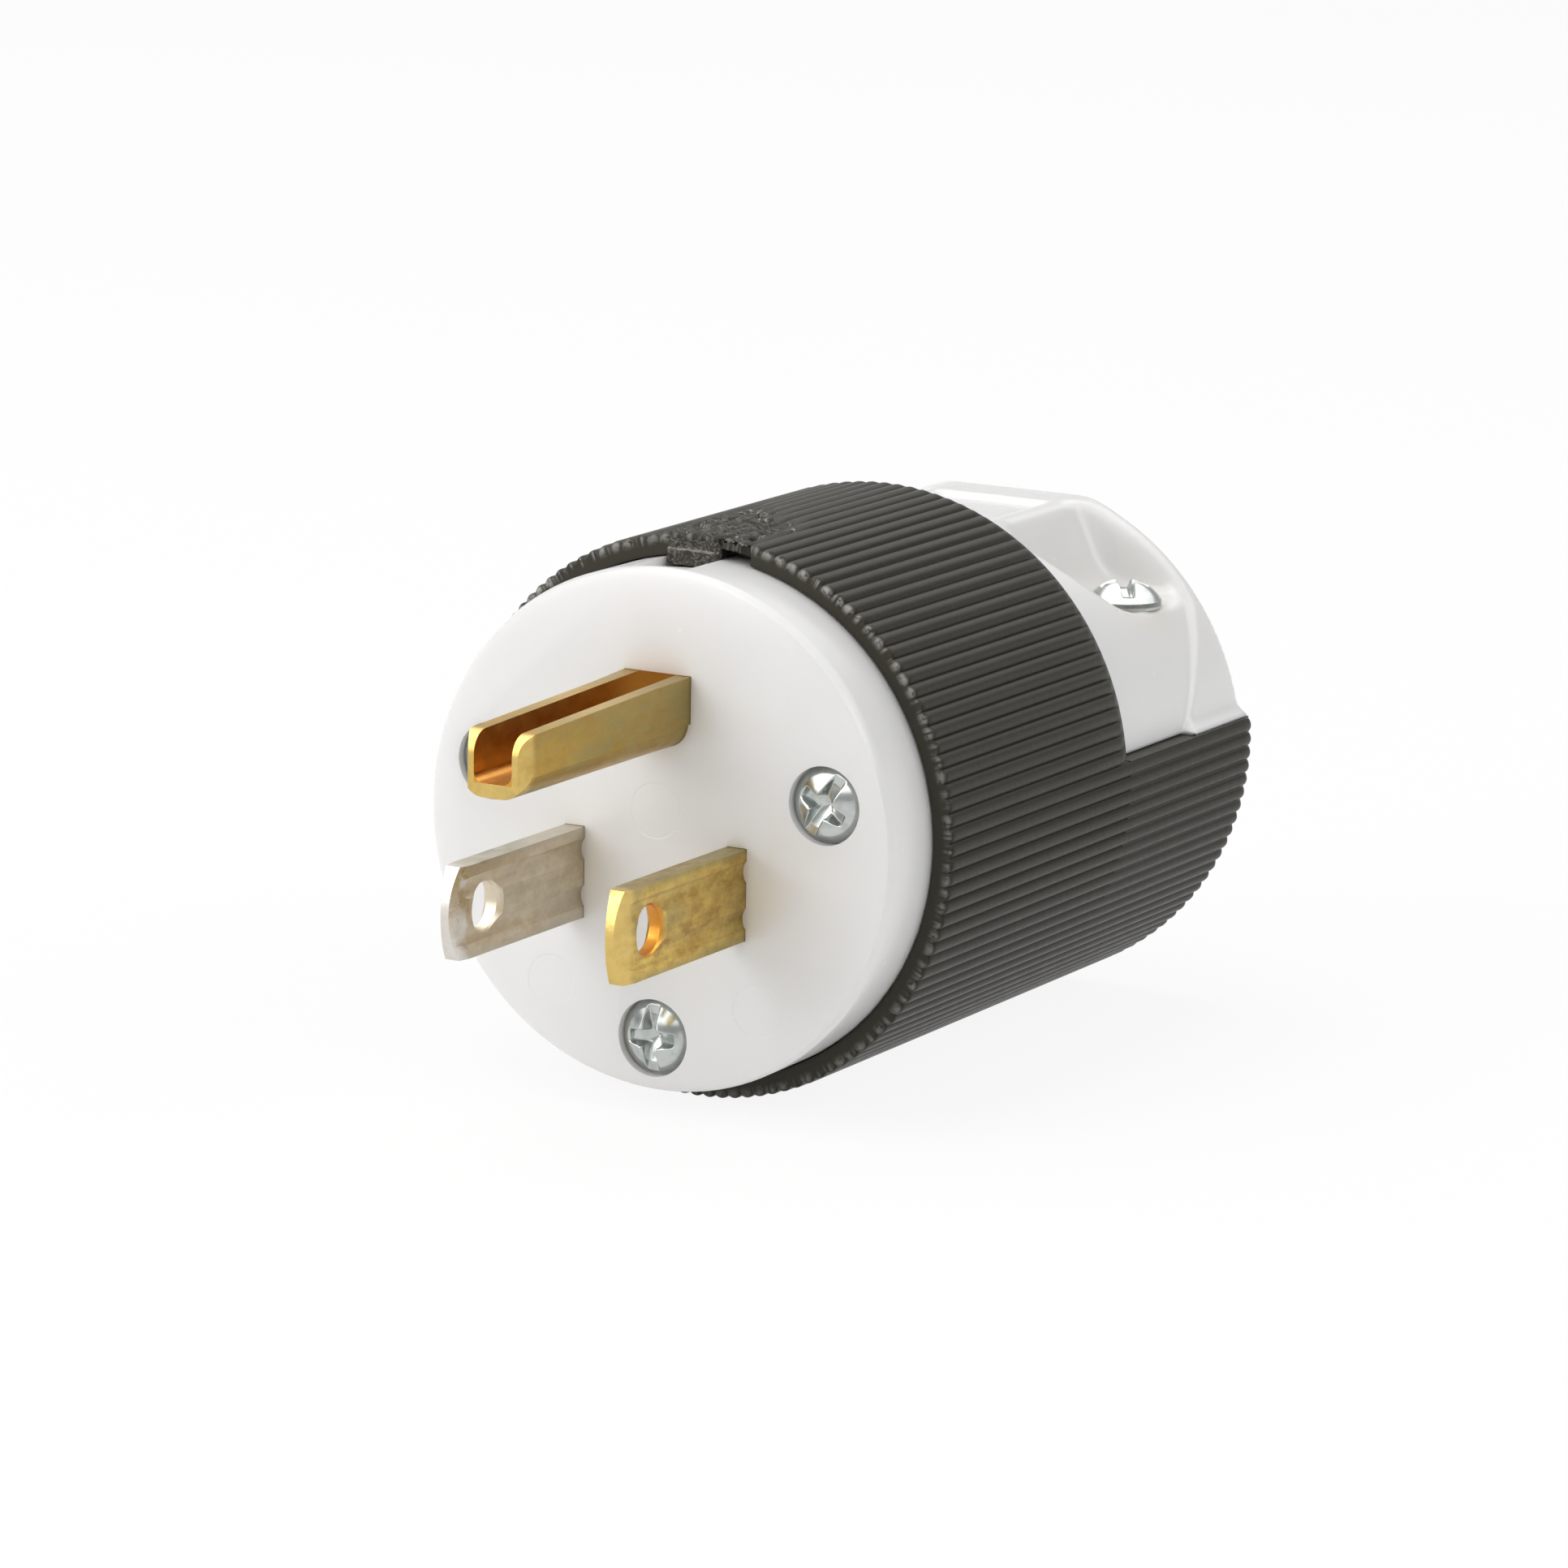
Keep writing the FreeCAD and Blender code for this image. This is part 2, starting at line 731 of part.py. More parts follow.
def make_clamp_nuts():
    """Two square nuts in the cradle's bosses."""
    nuts = []
    for index, x in enumerate(CLAMP_SCREWS):
        nut = new_body("clamp_nut_%d" % index)
        blank = rectangle(plan(nut), ("-nut_size / 2", "-nut_size / 2"), ("nut_size / 2", "nut_size / 2"))
        circle(blank, "0", "0", "clamp_shank + screw_clearance")
        pad(nut, blank, "nut_thick")
        put(nut, x, "clamp_screw_spot", "-nut_height")
        nuts.append(nut)
    return group("clamp_nuts", nuts)


# Black housing

def make_housing():
    """Ribbed shell: a full ring, a half-round cradle behind it, bosses, and the key on top."""
    body = new_body("housing_shell")
    ring = [
        ("bore_radius", "ring_front"), ("crest_radius", "ring_front"),
        ("crest_radius", "ring_rear - ring_edge"), ("crest_radius - ring_edge", "ring_rear"),
        ("cord_radius", "ring_rear"), ("cord_radius", "wall_front"), ("chamber_radius", "wall_front"),
        ("chamber_radius", "seat_place"), ("bore_radius", "seat_place"),
    ]
    turned(body, outline(plan(body), ring))
    cradle_start = "ring_rear - ring_edge"
    half_section(across(body, cradle_start), "chamber_radius", "crest_radius")
    pad(body, body.Group[-1], "cradle_length + ring_edge", "back")
    half_section(across(body, "cradle_rear - end_wall"), "cord_radius", "root_radius")
    pad(body, body.Group[-1], "end_wall", "back")
    rear_corner = [
        ("crest_radius", "cradle_rear - cradle_edge"), ("crest_radius - cradle_edge", "cradle_rear"),
        ("crest_radius - cradle_edge", "cradle_rear + cradle_edge"),
        ("crest_radius + cradle_edge", "cradle_rear + cradle_edge"),
        ("crest_radius + cradle_edge", "cradle_rear - cradle_edge"),
    ]
    turned(body, outline(plan(body), rear_corner), "Groove")
    bosses = across(body, "retainer_rear")
    for x, z in FACE_SCREWS:
        circle(bosses, x, z, "boss_radius")
    pad(body, bosses, "boss_length", "back")
    drill(body, FACE_SCREWS, "screw_shank + screw_clearance", "retainer_rear", "boss_length")
    cut_ribs(body)
    add_key(body)
    return add_clamp_bosses(body)


def half_section(sketch, inner, outer):
    """Part of a ring below the split line."""
    inner_edge = "sqrt((%s) ^ 2 - split_height ^ 2)" % inner
    outer_edge = "sqrt((%s) ^ 2 - split_height ^ 2)" % outer
    corners = [
        (inner_edge, "split_height"), (outer_edge, "split_height"), ("0", minus(outer)),
        (minus(outer_edge), "split_height"), (minus(inner_edge), "split_height"), ("0", minus(inner)),
    ]
    arcs = {1: (outer, "right"), 2: (outer, "right"), 4: (inner, "left"), 5: (inner, "left")}
    return outline(sketch, corners, arcs)


def cut_ribs(body):
    """Cut one groove along the shell and repeat it round the axis, leaving the ribs between."""
    groove = [
        ("-groove_root / 2", "root_radius"), ("groove_root / 2", "root_radius"),
        ("groove_width / 2", "crest_radius"), ("groove_width / 2", "crest_radius + rib_depth"),
        ("-groove_width / 2", "crest_radius + rib_depth"), ("-groove_width / 2", "crest_radius"),
    ]
    first = cut(body, outline(across(body), groove), "cradle_rear + ring_front")
    ribs = body.newObject("PartDesign::PolarPattern", "ribs")
    ribs.Originals = [first]
    ribs.Axis = (next(item for item in body.Origin.OriginFeatures if item.Role == "Y_Axis"), [""])
    ribs.Angle = 360
    ribs.setExpression("Occurrences", bound("rib_count"))
    body.Tip = ribs
    doc.recompute()


def add_key(body):
    """Add the worn pad over the ribs, the notch beside the key, and the key that enters the front body."""
    half = "pad_angle / 2"
    inner = "root_radius - rib_depth"
    outer = "crest_radius - pad_sink"
    corners = [
        ("(%s) * sin(%s)" % (inner, half), "(%s) * cos(%s)" % (inner, half)),
        ("(%s) * sin(%s)" % (outer, half), "(%s) * cos(%s)" % (outer, half)),
        ("-(%s) * sin(%s)" % (outer, half), "(%s) * cos(%s)" % (outer, half)),
        ("-(%s) * sin(%s)" % (inner, half), "(%s) * cos(%s)" % (inner, half)),
    ]
    worn = outline(across(body, "ring_front"), corners, {1: (outer, "left"), 3: (inner, "right")})
    pad(body, worn, "pad_length", "back")
    notch = rectangle(
        across(body, "ring_front"),
        ("key_right", "key_bottom"), ("key_right + notch_width", "key_top"))
    cut(body, notch, "notch_depth")
    key = rectangle(
        across(body, "ring_front - key_proud"),
        ("-key_left", "key_bottom"), ("key_right", "key_top"))
    pad(body, key, "key_proud + key_length", "back")


def add_clamp_bosses(shell):
    """Add the upright bosses of the clamp screws, trimmed to the shell, with screw holes and nut slots."""
    posts = []
    tools = []
    for index, x in enumerate(CLAMP_SCREWS):
        posts.append(upright("clamp_post_%d" % index, x, "clamp_boss", "boss_bottom"))
        bore = "clamp_shank + screw_clearance"
        tools.append(upright("clamp_bore_%d" % index, x, bore, "clamp_tip - tip_room"))
        tools.append(nut_slot("nut_slot_%d" % index, x))
    trim = doc.addObject("Part::Cylinder", "boss_trim")
    trim.setExpression("Radius", bound("root_radius - shell_wall / 2"))
    trim.setExpression("Height", bound("cradle_rear - end_wall / 2"))
    turn_about(trim, "X", -90)
    trimmed = doc.addObject("Part::MultiCommon", "trimmed_posts")
    trimmed.Shapes = [join("clamp_posts", posts), trim]
    whole = join("housing_blank", [shell, trimmed])
    housing = doc.addObject("Part::Cut", "housing")
    housing.Base = whole
    housing.Tool = join("clamp_cuts", tools)
    doc.recompute()
    return housing


def upright(name, x, radius, bottom):
    """Upright cylinder at a clamp screw, from the boss's top down to a given height."""
    post = doc.addObject("Part::Cylinder", name)
    post.setExpression("Radius", bound(radius))
    post.setExpression("Height", bound("boss_top - (%s)" % bottom))
    put(post, x, "clamp_screw_spot", bottom)
    return post


def nut_slot(name, x):
    """Slot through which a nut slides into its boss from the cord's side."""
    slot = doc.addObject("Part::Box", name)
    reach = "nut_size / 2 + nut_clearance"
    slot.setExpression("Length", bound("clamp_boss + " + reach))
    slot.setExpression("Width", bound("nut_size + 2 * nut_clearance"))
    slot.setExpression("Height", bound("nut_thick + 2 * nut_clearance"))
    inner = reach if x.startswith("-") else "clamp_boss"
    put(slot, "%s - (%s)" % (x, inner), "clamp_screw_spot - (%s)" % reach, "-nut_height - nut_clearance")
    return slot


# White cord clamp

def make_cord_clamp():
    """Arch over the cord: a rear skirt, a pocket on each side for a screw head and a ridge on top."""
    body = new_body("cord_clamp")
    add_skirt(body)
    arch = arch_section(across(body, "cradle_rear"), "arch_radius - skirt_step")
    pad(body, arch, "cradle_rear - clamp_front")
    cut_pockets(body)
    ridge = [
        ("-ridge_half", "split_height"), ("ridge_half", "split_height"), ("ridge_half", "seat_height"),
        ("top_half", "top_height"), ("-top_half", "top_height"), ("-ridge_half", "seat_height"),
    ]
    pad(body, outline(across(body, "clamp_front"), ridge), "cradle_rear - clamp_front", "back")
    cut(body, circle(across(body), "0", "0", "cord_radius"), LONG, "both")
    panel_start = "(clamp_front + cradle_rear - panel_length) / 2"
    panel = rectangle(
        plan(body, "top_height"),
        ("-panel_half", panel_start), ("panel_half", panel_start + " + panel_length"))
    cut(body, panel, "panel_depth")
    holes = plan(body)
    for x in CLAMP_SCREWS:
        circle(holes, x, "clamp_screw_spot", "clamp_shank + head_clearance")
    cut(body, holes, LONG, "both")
    return body


def arch_section(sketch, radius):
    """Cross section of the arch, flat on top, down to the split line."""
    foot = "sqrt((%s) ^ 2 - (split_height + arch_drop) ^ 2)" % radius
    shoulder = "sqrt((%s) ^ 2 - (top_height + arch_drop) ^ 2)" % radius
    corners = [
        (minus(foot), "split_height"), (foot, "split_height"),
        (shoulder, "top_height"), (minus(shoulder), "top_height"),
    ]
    return outline(sketch, corners, {1: (radius, "left"), 3: (radius, "left")})


def add_skirt(body):
    """Rear end of the arch, one step larger, with flared feet, whose front edge slants forward to them."""
    pad(body, arch_section(across(body, "cradle_rear"), "arch_radius"), "skirt_length")
    ankle = "split_height + foot_rise"
    ankle_half = "sqrt(arch_radius ^ 2 - (%s + arch_drop) ^ 2)" % ankle
    foot = "edge_half - foot_inset"
    feet = across(body, "cradle_rear")
    for sign in ("", "-"):
        inner = sign + "clamp_screw_across"
        outer = "%s(%s)" % (sign, foot)
        wedge = [
            (inner, "split_height"), (outer, "split_height"), (outer, "split_height + foot_lip"),
            ("%s(%s)" % (sign, ankle_half), ankle), (inner, ankle),
        ]
        outline(feet, wedge)
    pad(body, feet, "skirt_length")
    front = "cradle_rear - skirt_length"
    above = "2 * top_height"
    waste = [
        (front, "split_height"), ("flange_front", "seat_height"), ("flange_front", above), (front, above),
    ]
    cut(body, outline(side(body), waste), LONG, "both")


def cut_pockets(body):
    """Cut down to the screws' seats, with a round wall towards the ring and the flange left at the rear."""
    pockets = plan(body, "seat_height")
    spot = "cradle_rear - pocket_along"
    for sign, turn in (("", "left"), ("-", "right")):
        inner = sign + "pocket_across"
        outer = sign + "(pocket_across + pocket_radius)"
        corners = [
            (inner, spot + " - pocket_radius"), (outer, spot),
            (outer, "flange_front"), (inner, "flange_front"),
        ]
        outline(pockets, corners, {0: ("pocket_radius", turn)})
    cut(body, pockets, LONG, "back")


def make_dust_seal():
    """Rubber ring in front of the housing's rear wall, round the cord hole."""
    body = new_body("dust_seal")
    sketch = circle(across(body, "wall_front"), "0", "0", "chamber_radius - seal_gap")
    circle(sketch, "0", "0", "cord_radius + seal_gap")
    pad(body, sketch, "seal_thick")
    return body


def build():
    """Make every piece, and give the ones that are written out."""
    above = "pin_floor + plate_thick"
    beside = "(blade_face + plate_thick)"
    return [
        make_front_body(),
        make_blade("line_blade", ""),
        make_blade("neutral_blade", "-"),
        make_ground_pin(),
        make_terminal_retainer(),
        make_blade_plate("line_pressure_plate", ""),
        make_blade_plate("neutral_pressure_plate", "-"),
        make_ground_plate(),
        make_terminal_screw("line_terminal_screw", "Z", 90, beside, "-blade_drop"),
        make_terminal_screw("neutral_terminal_screw", "Z", -90, "-" + beside, "-blade_drop"),
        make_terminal_screw("ground_terminal_screw", "X", -90, "0", above),
        make_face_screws(),
        make_housing(),
        make_cord_clamp(),
        make_clamp_screws(),
        make_clamp_nuts(),
        make_dust_seal(),
    ]


def write_parts(pieces):
    """Check every object of the document, then write one file for each piece."""
    doc.recompute()
    for item in doc.Objects:
        if "Invalid" in item.State or "Error" in item.State:
            raise RuntimeError("%s failed to build" % item.Label)
    for piece in pieces:
        if piece.Shape.isNull() or not piece.Shape.isValid():
            raise RuntimeError("%s has no sound shape" % piece.Label)
    os.makedirs("parts", exist_ok=True)
    for piece in pieces:
        piece.Shape.exportStep("parts/%s.step" % piece.Label)
        print("%-24s %d solid, %.1f mm3" % (piece.Label, len(piece.Shape.Solids), piece.Shape.Volume))


write_parts(build())
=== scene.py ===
"""Studio scene of a grounded mains plug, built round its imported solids.

Metres throughout, in the frame of the solids: the prongs point to -Y, the cord leaves to +Y and
the ground pin is on top. Each operator makes one piece or group of like pieces.
"""
import math

import bmesh
import bpy
import numpy as np
from mathutils import Matrix, Vector


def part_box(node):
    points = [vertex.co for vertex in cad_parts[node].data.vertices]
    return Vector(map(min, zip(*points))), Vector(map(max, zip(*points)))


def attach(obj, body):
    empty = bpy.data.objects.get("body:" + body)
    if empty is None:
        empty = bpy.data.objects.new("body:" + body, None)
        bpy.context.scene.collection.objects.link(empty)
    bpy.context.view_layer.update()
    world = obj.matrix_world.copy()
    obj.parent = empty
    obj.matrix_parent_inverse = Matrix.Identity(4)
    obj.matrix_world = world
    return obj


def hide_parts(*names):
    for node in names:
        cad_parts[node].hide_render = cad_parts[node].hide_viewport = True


bl_info = {
    "name": "Grounded plug",
    "version": (1, 0, 0),
    "blender": (4, 5, 0),
    "location": "View3D > Sidebar > Plug",
    "description": "Dresses the solids of a grounded mains plug and sets its studio stage",
    "category": "Object",
}

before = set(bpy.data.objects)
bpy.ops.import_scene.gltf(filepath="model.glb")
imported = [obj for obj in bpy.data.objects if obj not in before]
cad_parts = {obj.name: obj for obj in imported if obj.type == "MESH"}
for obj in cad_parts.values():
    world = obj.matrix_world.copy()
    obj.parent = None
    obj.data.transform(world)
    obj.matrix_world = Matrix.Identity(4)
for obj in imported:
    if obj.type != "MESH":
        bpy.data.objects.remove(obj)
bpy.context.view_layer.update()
SHELL_LOW, SHELL_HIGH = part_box("housing")
CLAMP_LOW, CLAMP_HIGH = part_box("cord_clamp")
BLADE_LOW, BLADE_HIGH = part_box("line_blade")
BLADE_MIDDLE = (BLADE_LOW + BLADE_HIGH) / 2.0
PIN_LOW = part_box("ground_pin")[0]
MM = 0.001
BODY = "root"


# Settings that a user would change

def length(name, description, default):
    """A length property in metres, shown in the scene's unit."""
    return bpy.props.FloatProperty(
        name=name, description=description, default=default, unit="LENGTH", precision=5)


def number(name, description, default, **limits):
    """A plain number, or an angle where its subtype says so."""
    return bpy.props.FloatProperty(name=name, description=description, default=default, **limits)


def colour(name, description, default):
    """A colour property in linear light."""
    return bpy.props.FloatVectorProperty(
        name=name, description=description, default=default, subtype="COLOR", size=3, min=0.0, max=1.0)


class ShellSettings(bpy.types.PropertyGroup):
    """Sizes of the ribbed black shell."""
    crest: length("Crest radius", "Radius over the tops of the ribs", SHELL_HIGH.x)
    front: length("Front", "Where the ring starts along the axis", SHELL_LOW.y + 0.35 * MM)
    ring_rear: length("Ring rear", "Where the full ring ends", 32.5 * MM)
    rear: length("Rear", "Where the cradle ends", SHELL_HIGH.y)
    split: length("Split", "Height of the cradle's open edge", 1.6 * MM)
    bore: length("Bore", "Radius of the hole that takes the white body", 18.1 * MM)
    seat: length("Seat", "Where the white body stops inside", 9.7 * MM)
    wall: length("Wall", "Thickness under the ribs", 2.7 * MM)
    cord: length("Cord hole", "Radius of the cord hole", 8.0 * MM)
    rib_depth: length("Rib depth", "Height of the ribs", 0.25 * MM)
    rib_count: bpy.props.IntProperty(
        name="Ribs", description="Ribs in one turn", default=120, min=12)
    rib_samples: bpy.props.IntProperty(
        name="Samples", description="Points across one rib", default=12, min=4)
    burr: length("Burr", "How far the ragged rib ends stand out", 0.12 * MM)
    patch_shift: length("Patch shift", "Middle of the torn patch behind the key", -0.4 * MM)
    patch_half: length("Patch half width", "Half width of the torn patch", 3.6 * MM)
    patch_length: length("Patch length", "Length of the torn patch on the middle line", 9.3 * MM)
    patch_slant: number("Patch slant", "How much the torn patch shortens across", 0.77)
    patch_bed: length("Patch bed", "How far the ring is sunk under the torn patch", 0.3 * MM)
    scrap: length("Scrap", "Length of one torn scrap of a rib", 0.95 * MM)


class KeySettings(bpy.types.PropertyGroup):
    """Sizes of the moulded key, of the notch beside it and of the ramp before it."""
    front: length("Front", "Where the key starts along the axis", SHELL_LOW.y)
    left: length("Left", "Left side of the key", -2.75 * MM)
    right: length("Right", "Right side of the key", 1.25 * MM)
    low: length("Low", "Underside of the key", 17.3 * MM)
    high: length("High", "Top of the key", 19.2 * MM)
    step: length("Step", "Height of the step across the key's front", 18.42 * MM)
    reach: length("Reach", "How far the key runs back over the ring", 3.2 * MM)
    gap: length("Gap", "Clearance of the keyway in the white body", 0.12 * MM)
    notch: length("Notch", "Right side of the notch beside the key", 3.5 * MM)
    notch_depth: length("Notch depth", "How far the notch goes back into the ring", 1.5 * MM)
    ramp: length("Ramp", "Where the white flank starts to sink before the key", 1.2 * MM)
    ramp_depth: length("Ramp depth", "How far the white flank sinks", 0.7 * MM)


class ClampSettings(bpy.types.PropertyGroup):
    """Sizes of the white cord clamp."""
    front: length("Front", "Where the clamp starts along the axis", CLAMP_LOW.y)
    rear: length("Rear", "Where the clamp ends", CLAMP_HIGH.y)
    split: length("Split", "Height of its foot", CLAMP_LOW.z)
    top: length("Top", "Height of the flat ridge", CLAMP_HIGH.z)
    top_half: length("Ridge half width", "Half width of the flat ridge", 5.75 * MM)
    foot_half: length("Ridge foot", "Half width of the ridge at the screws' seats", 8.8 * MM)
    drop: length("Arch drop", "How far the arch's middle lies under the axis", 1.5 * MM)
    step: length("Skirt step", "How far the rear skirt stands out", 0.35 * MM)
    skirt: length("Skirt length", "Length of the skirt at its foot", 8.9 * MM)
    flange: length("Flange", "Thickness of the rear flange", 1.6 * MM)
    flare: length("Flare", "How far the skirt's feet flare out", 0.95 * MM)
    seat: length("Seat", "Height of the screws' seats", 9.8 * MM)
    pocket: length("Pocket radius", "Radius of the pocket's front wall", 8.6 * MM)
    pocket_across: length("Pocket across", "Middle of the pocket's wall from the axis", 6.5 * MM)
    pocket_along: length("Pocket along", "Middle of the pocket's wall from the rear", 6.1 * MM)
    panel_half: length("Panel half width", "Half width of the panel in the ridge", 4.3 * MM)
    panel_length: length("Panel length", "Length of the panel in the ridge", 10.5 * MM)
    panel_depth: length("Panel depth", "Depth of the panel in the ridge", 0.45 * MM)
    cord: length("Cord hole", "Radius of the cord's passage", 8.0 * MM)
    foot_height: length("Foot height", "Height over which the skirt's feet flare", 1.1 * MM)
    skirt_edge: length("Skirt edge", "Rounding of the skirt's front edge", 0.35 * MM)
    skirt_fill: length("Skirt fill", "Hollow rounding where the skirt meets the arch", 0.3 * MM)
    ridge_edge: length("Ridge edge", "Rounding of the ridge's top edges", 0.8 * MM)
    ridge_fill: length("Ridge fill", "Hollow rounding at the ridge's foot", 2.4 * MM)
    pocket_rear: length("Pocket rear", "Hollow rounding at the pocket's rear wall", 2.5 * MM)
    pocket_floor: length("Pocket floor", "Hollow rounding at the pocket's floor", 1.5 * MM)
    pocket_rim: length("Pocket rim", "Rounding of the pocket's rim", 0.6 * MM)
    outer_edge: length("Outer edge", "Rounding where the outside trims the ridge", 0.3 * MM)
    end_edge: length("End edge", "Rounding of the front and rear edges", 0.6 * MM)
    foot_edge: length("Foot edge", "Rounding of the edges on the split", 0.12 * MM)
    cord_edge: length("Cord edge", "Rounding of the passage's edges", 0.5 * MM)
    panel_floor: length("Panel floor", "Hollow rounding at the panel's floor", 0.4 * MM)
    panel_rim: length("Panel rim", "Rounding of the panel's rim", 0.45 * MM)
    grain: length("Grain", "Spacing of the points it is built from", 0.3 * MM)


class ProngSettings(bpy.types.PropertyGroup):
    """Sizes of the blades' flutes and lock holes, and of the prongs' edges."""
    flute_place: length("Flute place", "From a blade's middle line to a flute's", 1.62 * MM)
    flute_radius: length("Flute radius", "Radius of a flute's round", 1.3 * MM)
    flute_half: length("Flute half width", "Half width of a flute", 0.75 * MM)
    hole_along: length("Lock hole", "Where the lock hole is along the axis", -12.3 * MM)
    hole_radius: length("Lock hole radius", "Radius of the lock hole", 1.65 * MM)
    blade_ease: length("Blade edges", "Width of the blades' eased edges", 0.14 * MM)
    pin_ease: length("Pin edges", "Width of the ground pin's eased edges", 0.16 * MM)


class ScrewSettings(bpy.types.PropertyGroup):
    """Sizes and places of the domed screws."""
    head: length("Head radius", "Radius of a head", 2.65 * MM)
    height: length("Head height", "Height of a head over its seat", 2.0 * MM)
    slot_half: length("Slot half width", "Half width of the slot", 0.45 * MM)
    slot_depth: length("Slot depth", "Depth of the slot under the crown", 1.0 * MM)
    cross_half: length("Cross half width", "Half width of the cross in its middle", 0.62 * MM)
    cross_depth: length("Cross depth", "Depth of the cross under the crown", 1.75 * MM)
    cross_reach: length("Cross reach", "How far the cross's arms reach", 1.7 * MM)
    face_across: length("Face across", "From the middle to a side screw of the face", 13.0 * MM)
    face_high: length("Face high", "Height of the face's side screws", 3.4 * MM)
    face_low: length("Face low", "Height of the face's low screw", -14.3 * MM)
    face_seat: length("Face seat", "Depth of the seats in the face", 1.3 * MM)
    face_shank: length("Face shank", "Shank radius of the face's screws", 1.7 * MM)
    face_span: length("Face span", "Shank length of the face's screws", 21.0 * MM)
    clamp_across: length("Clamp across", "From the middle to a screw of the clamp", 12.0 * MM)
    clamp_along: length("Clamp along", "Where the clamp's screws are along the axis", 45.5 * MM)
    clamp_shank: length("Clamp shank", "Shank radius of the clamp's screws", 1.75 * MM)
    clamp_span: length("Clamp span", "Shank length of the clamp's screws", 17.0 * MM)


class FinishSettings(bpy.types.PropertyGroup):
    """Colours of the finishes."""
    white: colour("White", "White nylon", (0.798, 0.795, 0.796))
    # Painted reflection: warm light that the brass prongs and the screws would throw on the white nylon,
    # mixed into its colour
    painted_warm_reflection: colour("Warm", "White nylon where brass tints it", (0.80, 0.70, 0.50))
    black: colour("Black", "Black nylon", (0.022, 0.0205, 0.014))
    worn_black: colour("Worn black", "Black nylon on worn crests", (0.045, 0.042, 0.031))
    burr: colour("Burr", "Whitened ends of the ribs", (0.42, 0.41, 0.38))
    brass: colour("Brass", "Clean brass", (0.74, 0.535, 0.16))
    tarnish: colour("Tarnish", "Brown tarnish on brass", (0.41, 0.25, 0.06))
    patina: colour("Patina", "Grey-green tarnish on brass", (0.35, 0.30, 0.135))
    bright_brass: colour("Bright brass", "Brass on rubbed ends", (0.70, 0.50, 0.16))
    # Painted reflection: the orange of light bouncing inside the brass's lock holes and the pin's fold, used
    # as a colour there
    hollow_reflection: colour("Copper", "Brass inside holes and folds", (0.62, 0.27, 0.045))
    pin_brass: colour("Pin brass", "Duller brass of the ground pin", (0.45, 0.30, 0.075))
    lit_copper: colour("Lit copper", "Glow inside the pin's root", (0.24, 0.13, 0.025))
    nickel: colour("Nickel", "Nickel plate", (0.68, 0.60, 0.47))
    stain: colour("Stain", "Stained nickel plate", (0.54, 0.45, 0.32))
    smoke: colour("Smoke", "Grey stains on nickel plate", (0.50, 0.47, 0.40))
    bright_nickel: colour("Bright nickel", "Nickel plate on rubbed ends", (0.70, 0.67, 0.63))
    zinc: colour("Zinc", "Bright zinc plate", (0.53, 0.555, 0.54))
    green: colour("Green", "Dyed ground screw", (0.06, 0.32, 0.12))
    rubber: colour("Rubber", "Seal at the cord hole", (0.03, 0.03, 0.03))


class StageSettings(bpy.types.PropertyGroup):
    """Camera and light."""
    azimuth: number("Azimuth", "Camera's turn round the plug", math.radians(29.497), subtype="ANGLE")
    elevation: number("Elevation", "Camera's height angle", math.radians(12.017), subtype="ANGLE")
    roll: number("Roll", "Camera's lean", math.radians(1.011), subtype="ANGLE")
    distance: length("Distance", "From the camera to the face's plane of view", 488.963 * MM)
    pan: length("Pan", "Camera's shift to its right", 8.696 * MM)
    lift: length("Lift", "Camera's shift upwards", 3.272 * MM)
    lens: number("Lens", "Focal length on a 36 mm sensor, in millimetres", 166.28)
    ambient: number("Ambient", "Strength of the even light", 0.47, min=0.0)
    band: number("Dark band", "How much darker reflections get in a low band", 0.55, min=0.0)
    panel: number("Bright panel", "How much brighter reflections get high up", 1.1, min=0.0)
    glow: number("Floor glow", "Share of plain white in the floor's look", 0.90, min=0.0, max=1.0)
    floor: colour("Floor", "Pale floor", (0.92, 0.92, 0.92))


# Node sheets

class Wire:
    """One socket of a node sheet. Arithmetic on it adds Math nodes."""

    def __init__(self, sheet, socket):
        self.sheet = sheet
        self.socket = socket

    def calc(self, operation, *values):
        """Add one Math node on these values."""
        return self.sheet.add("ShaderNodeMath", {"operation": operation}, dict(enumerate(values)))

    def __add__(self, other):
        return self.calc("ADD", self, other)

    def __sub__(self, other):
        return self.calc("SUBTRACT", self, other)

    def __rsub__(self, other):
        return self.calc("SUBTRACT", other, self)

    def __mul__(self, other):
        return self.calc("MULTIPLY", self, other)

    def __pow__(self, other):
        return self.calc("POWER", self, other)

    __radd__ = __add__
    __rmul__ = __mul__

    def __abs__(self):
        return self.calc("ABSOLUTE", self)

    def at_least(self, other):
        """The larger of two values."""
        return self.calc("MAXIMUM", self, other)

    def at_most(self, other):
        """The smaller of two values."""
        return self.calc("MINIMUM", self, other)

    def rise(self, low, high):
        """Smooth step from 0 at low to 1 at high."""
        settings = {"interpolation_type": "SMOOTHSTEP"}
        inputs = {"Value": self, "From Min": low, "From Max": high}
        return self.sheet.add("ShaderNodeMapRange", settings, inputs)

    def fall(self, low, high):
        """Smooth step from 1 at low to 0 at high."""
        return 1.0 - self.rise(low, high)


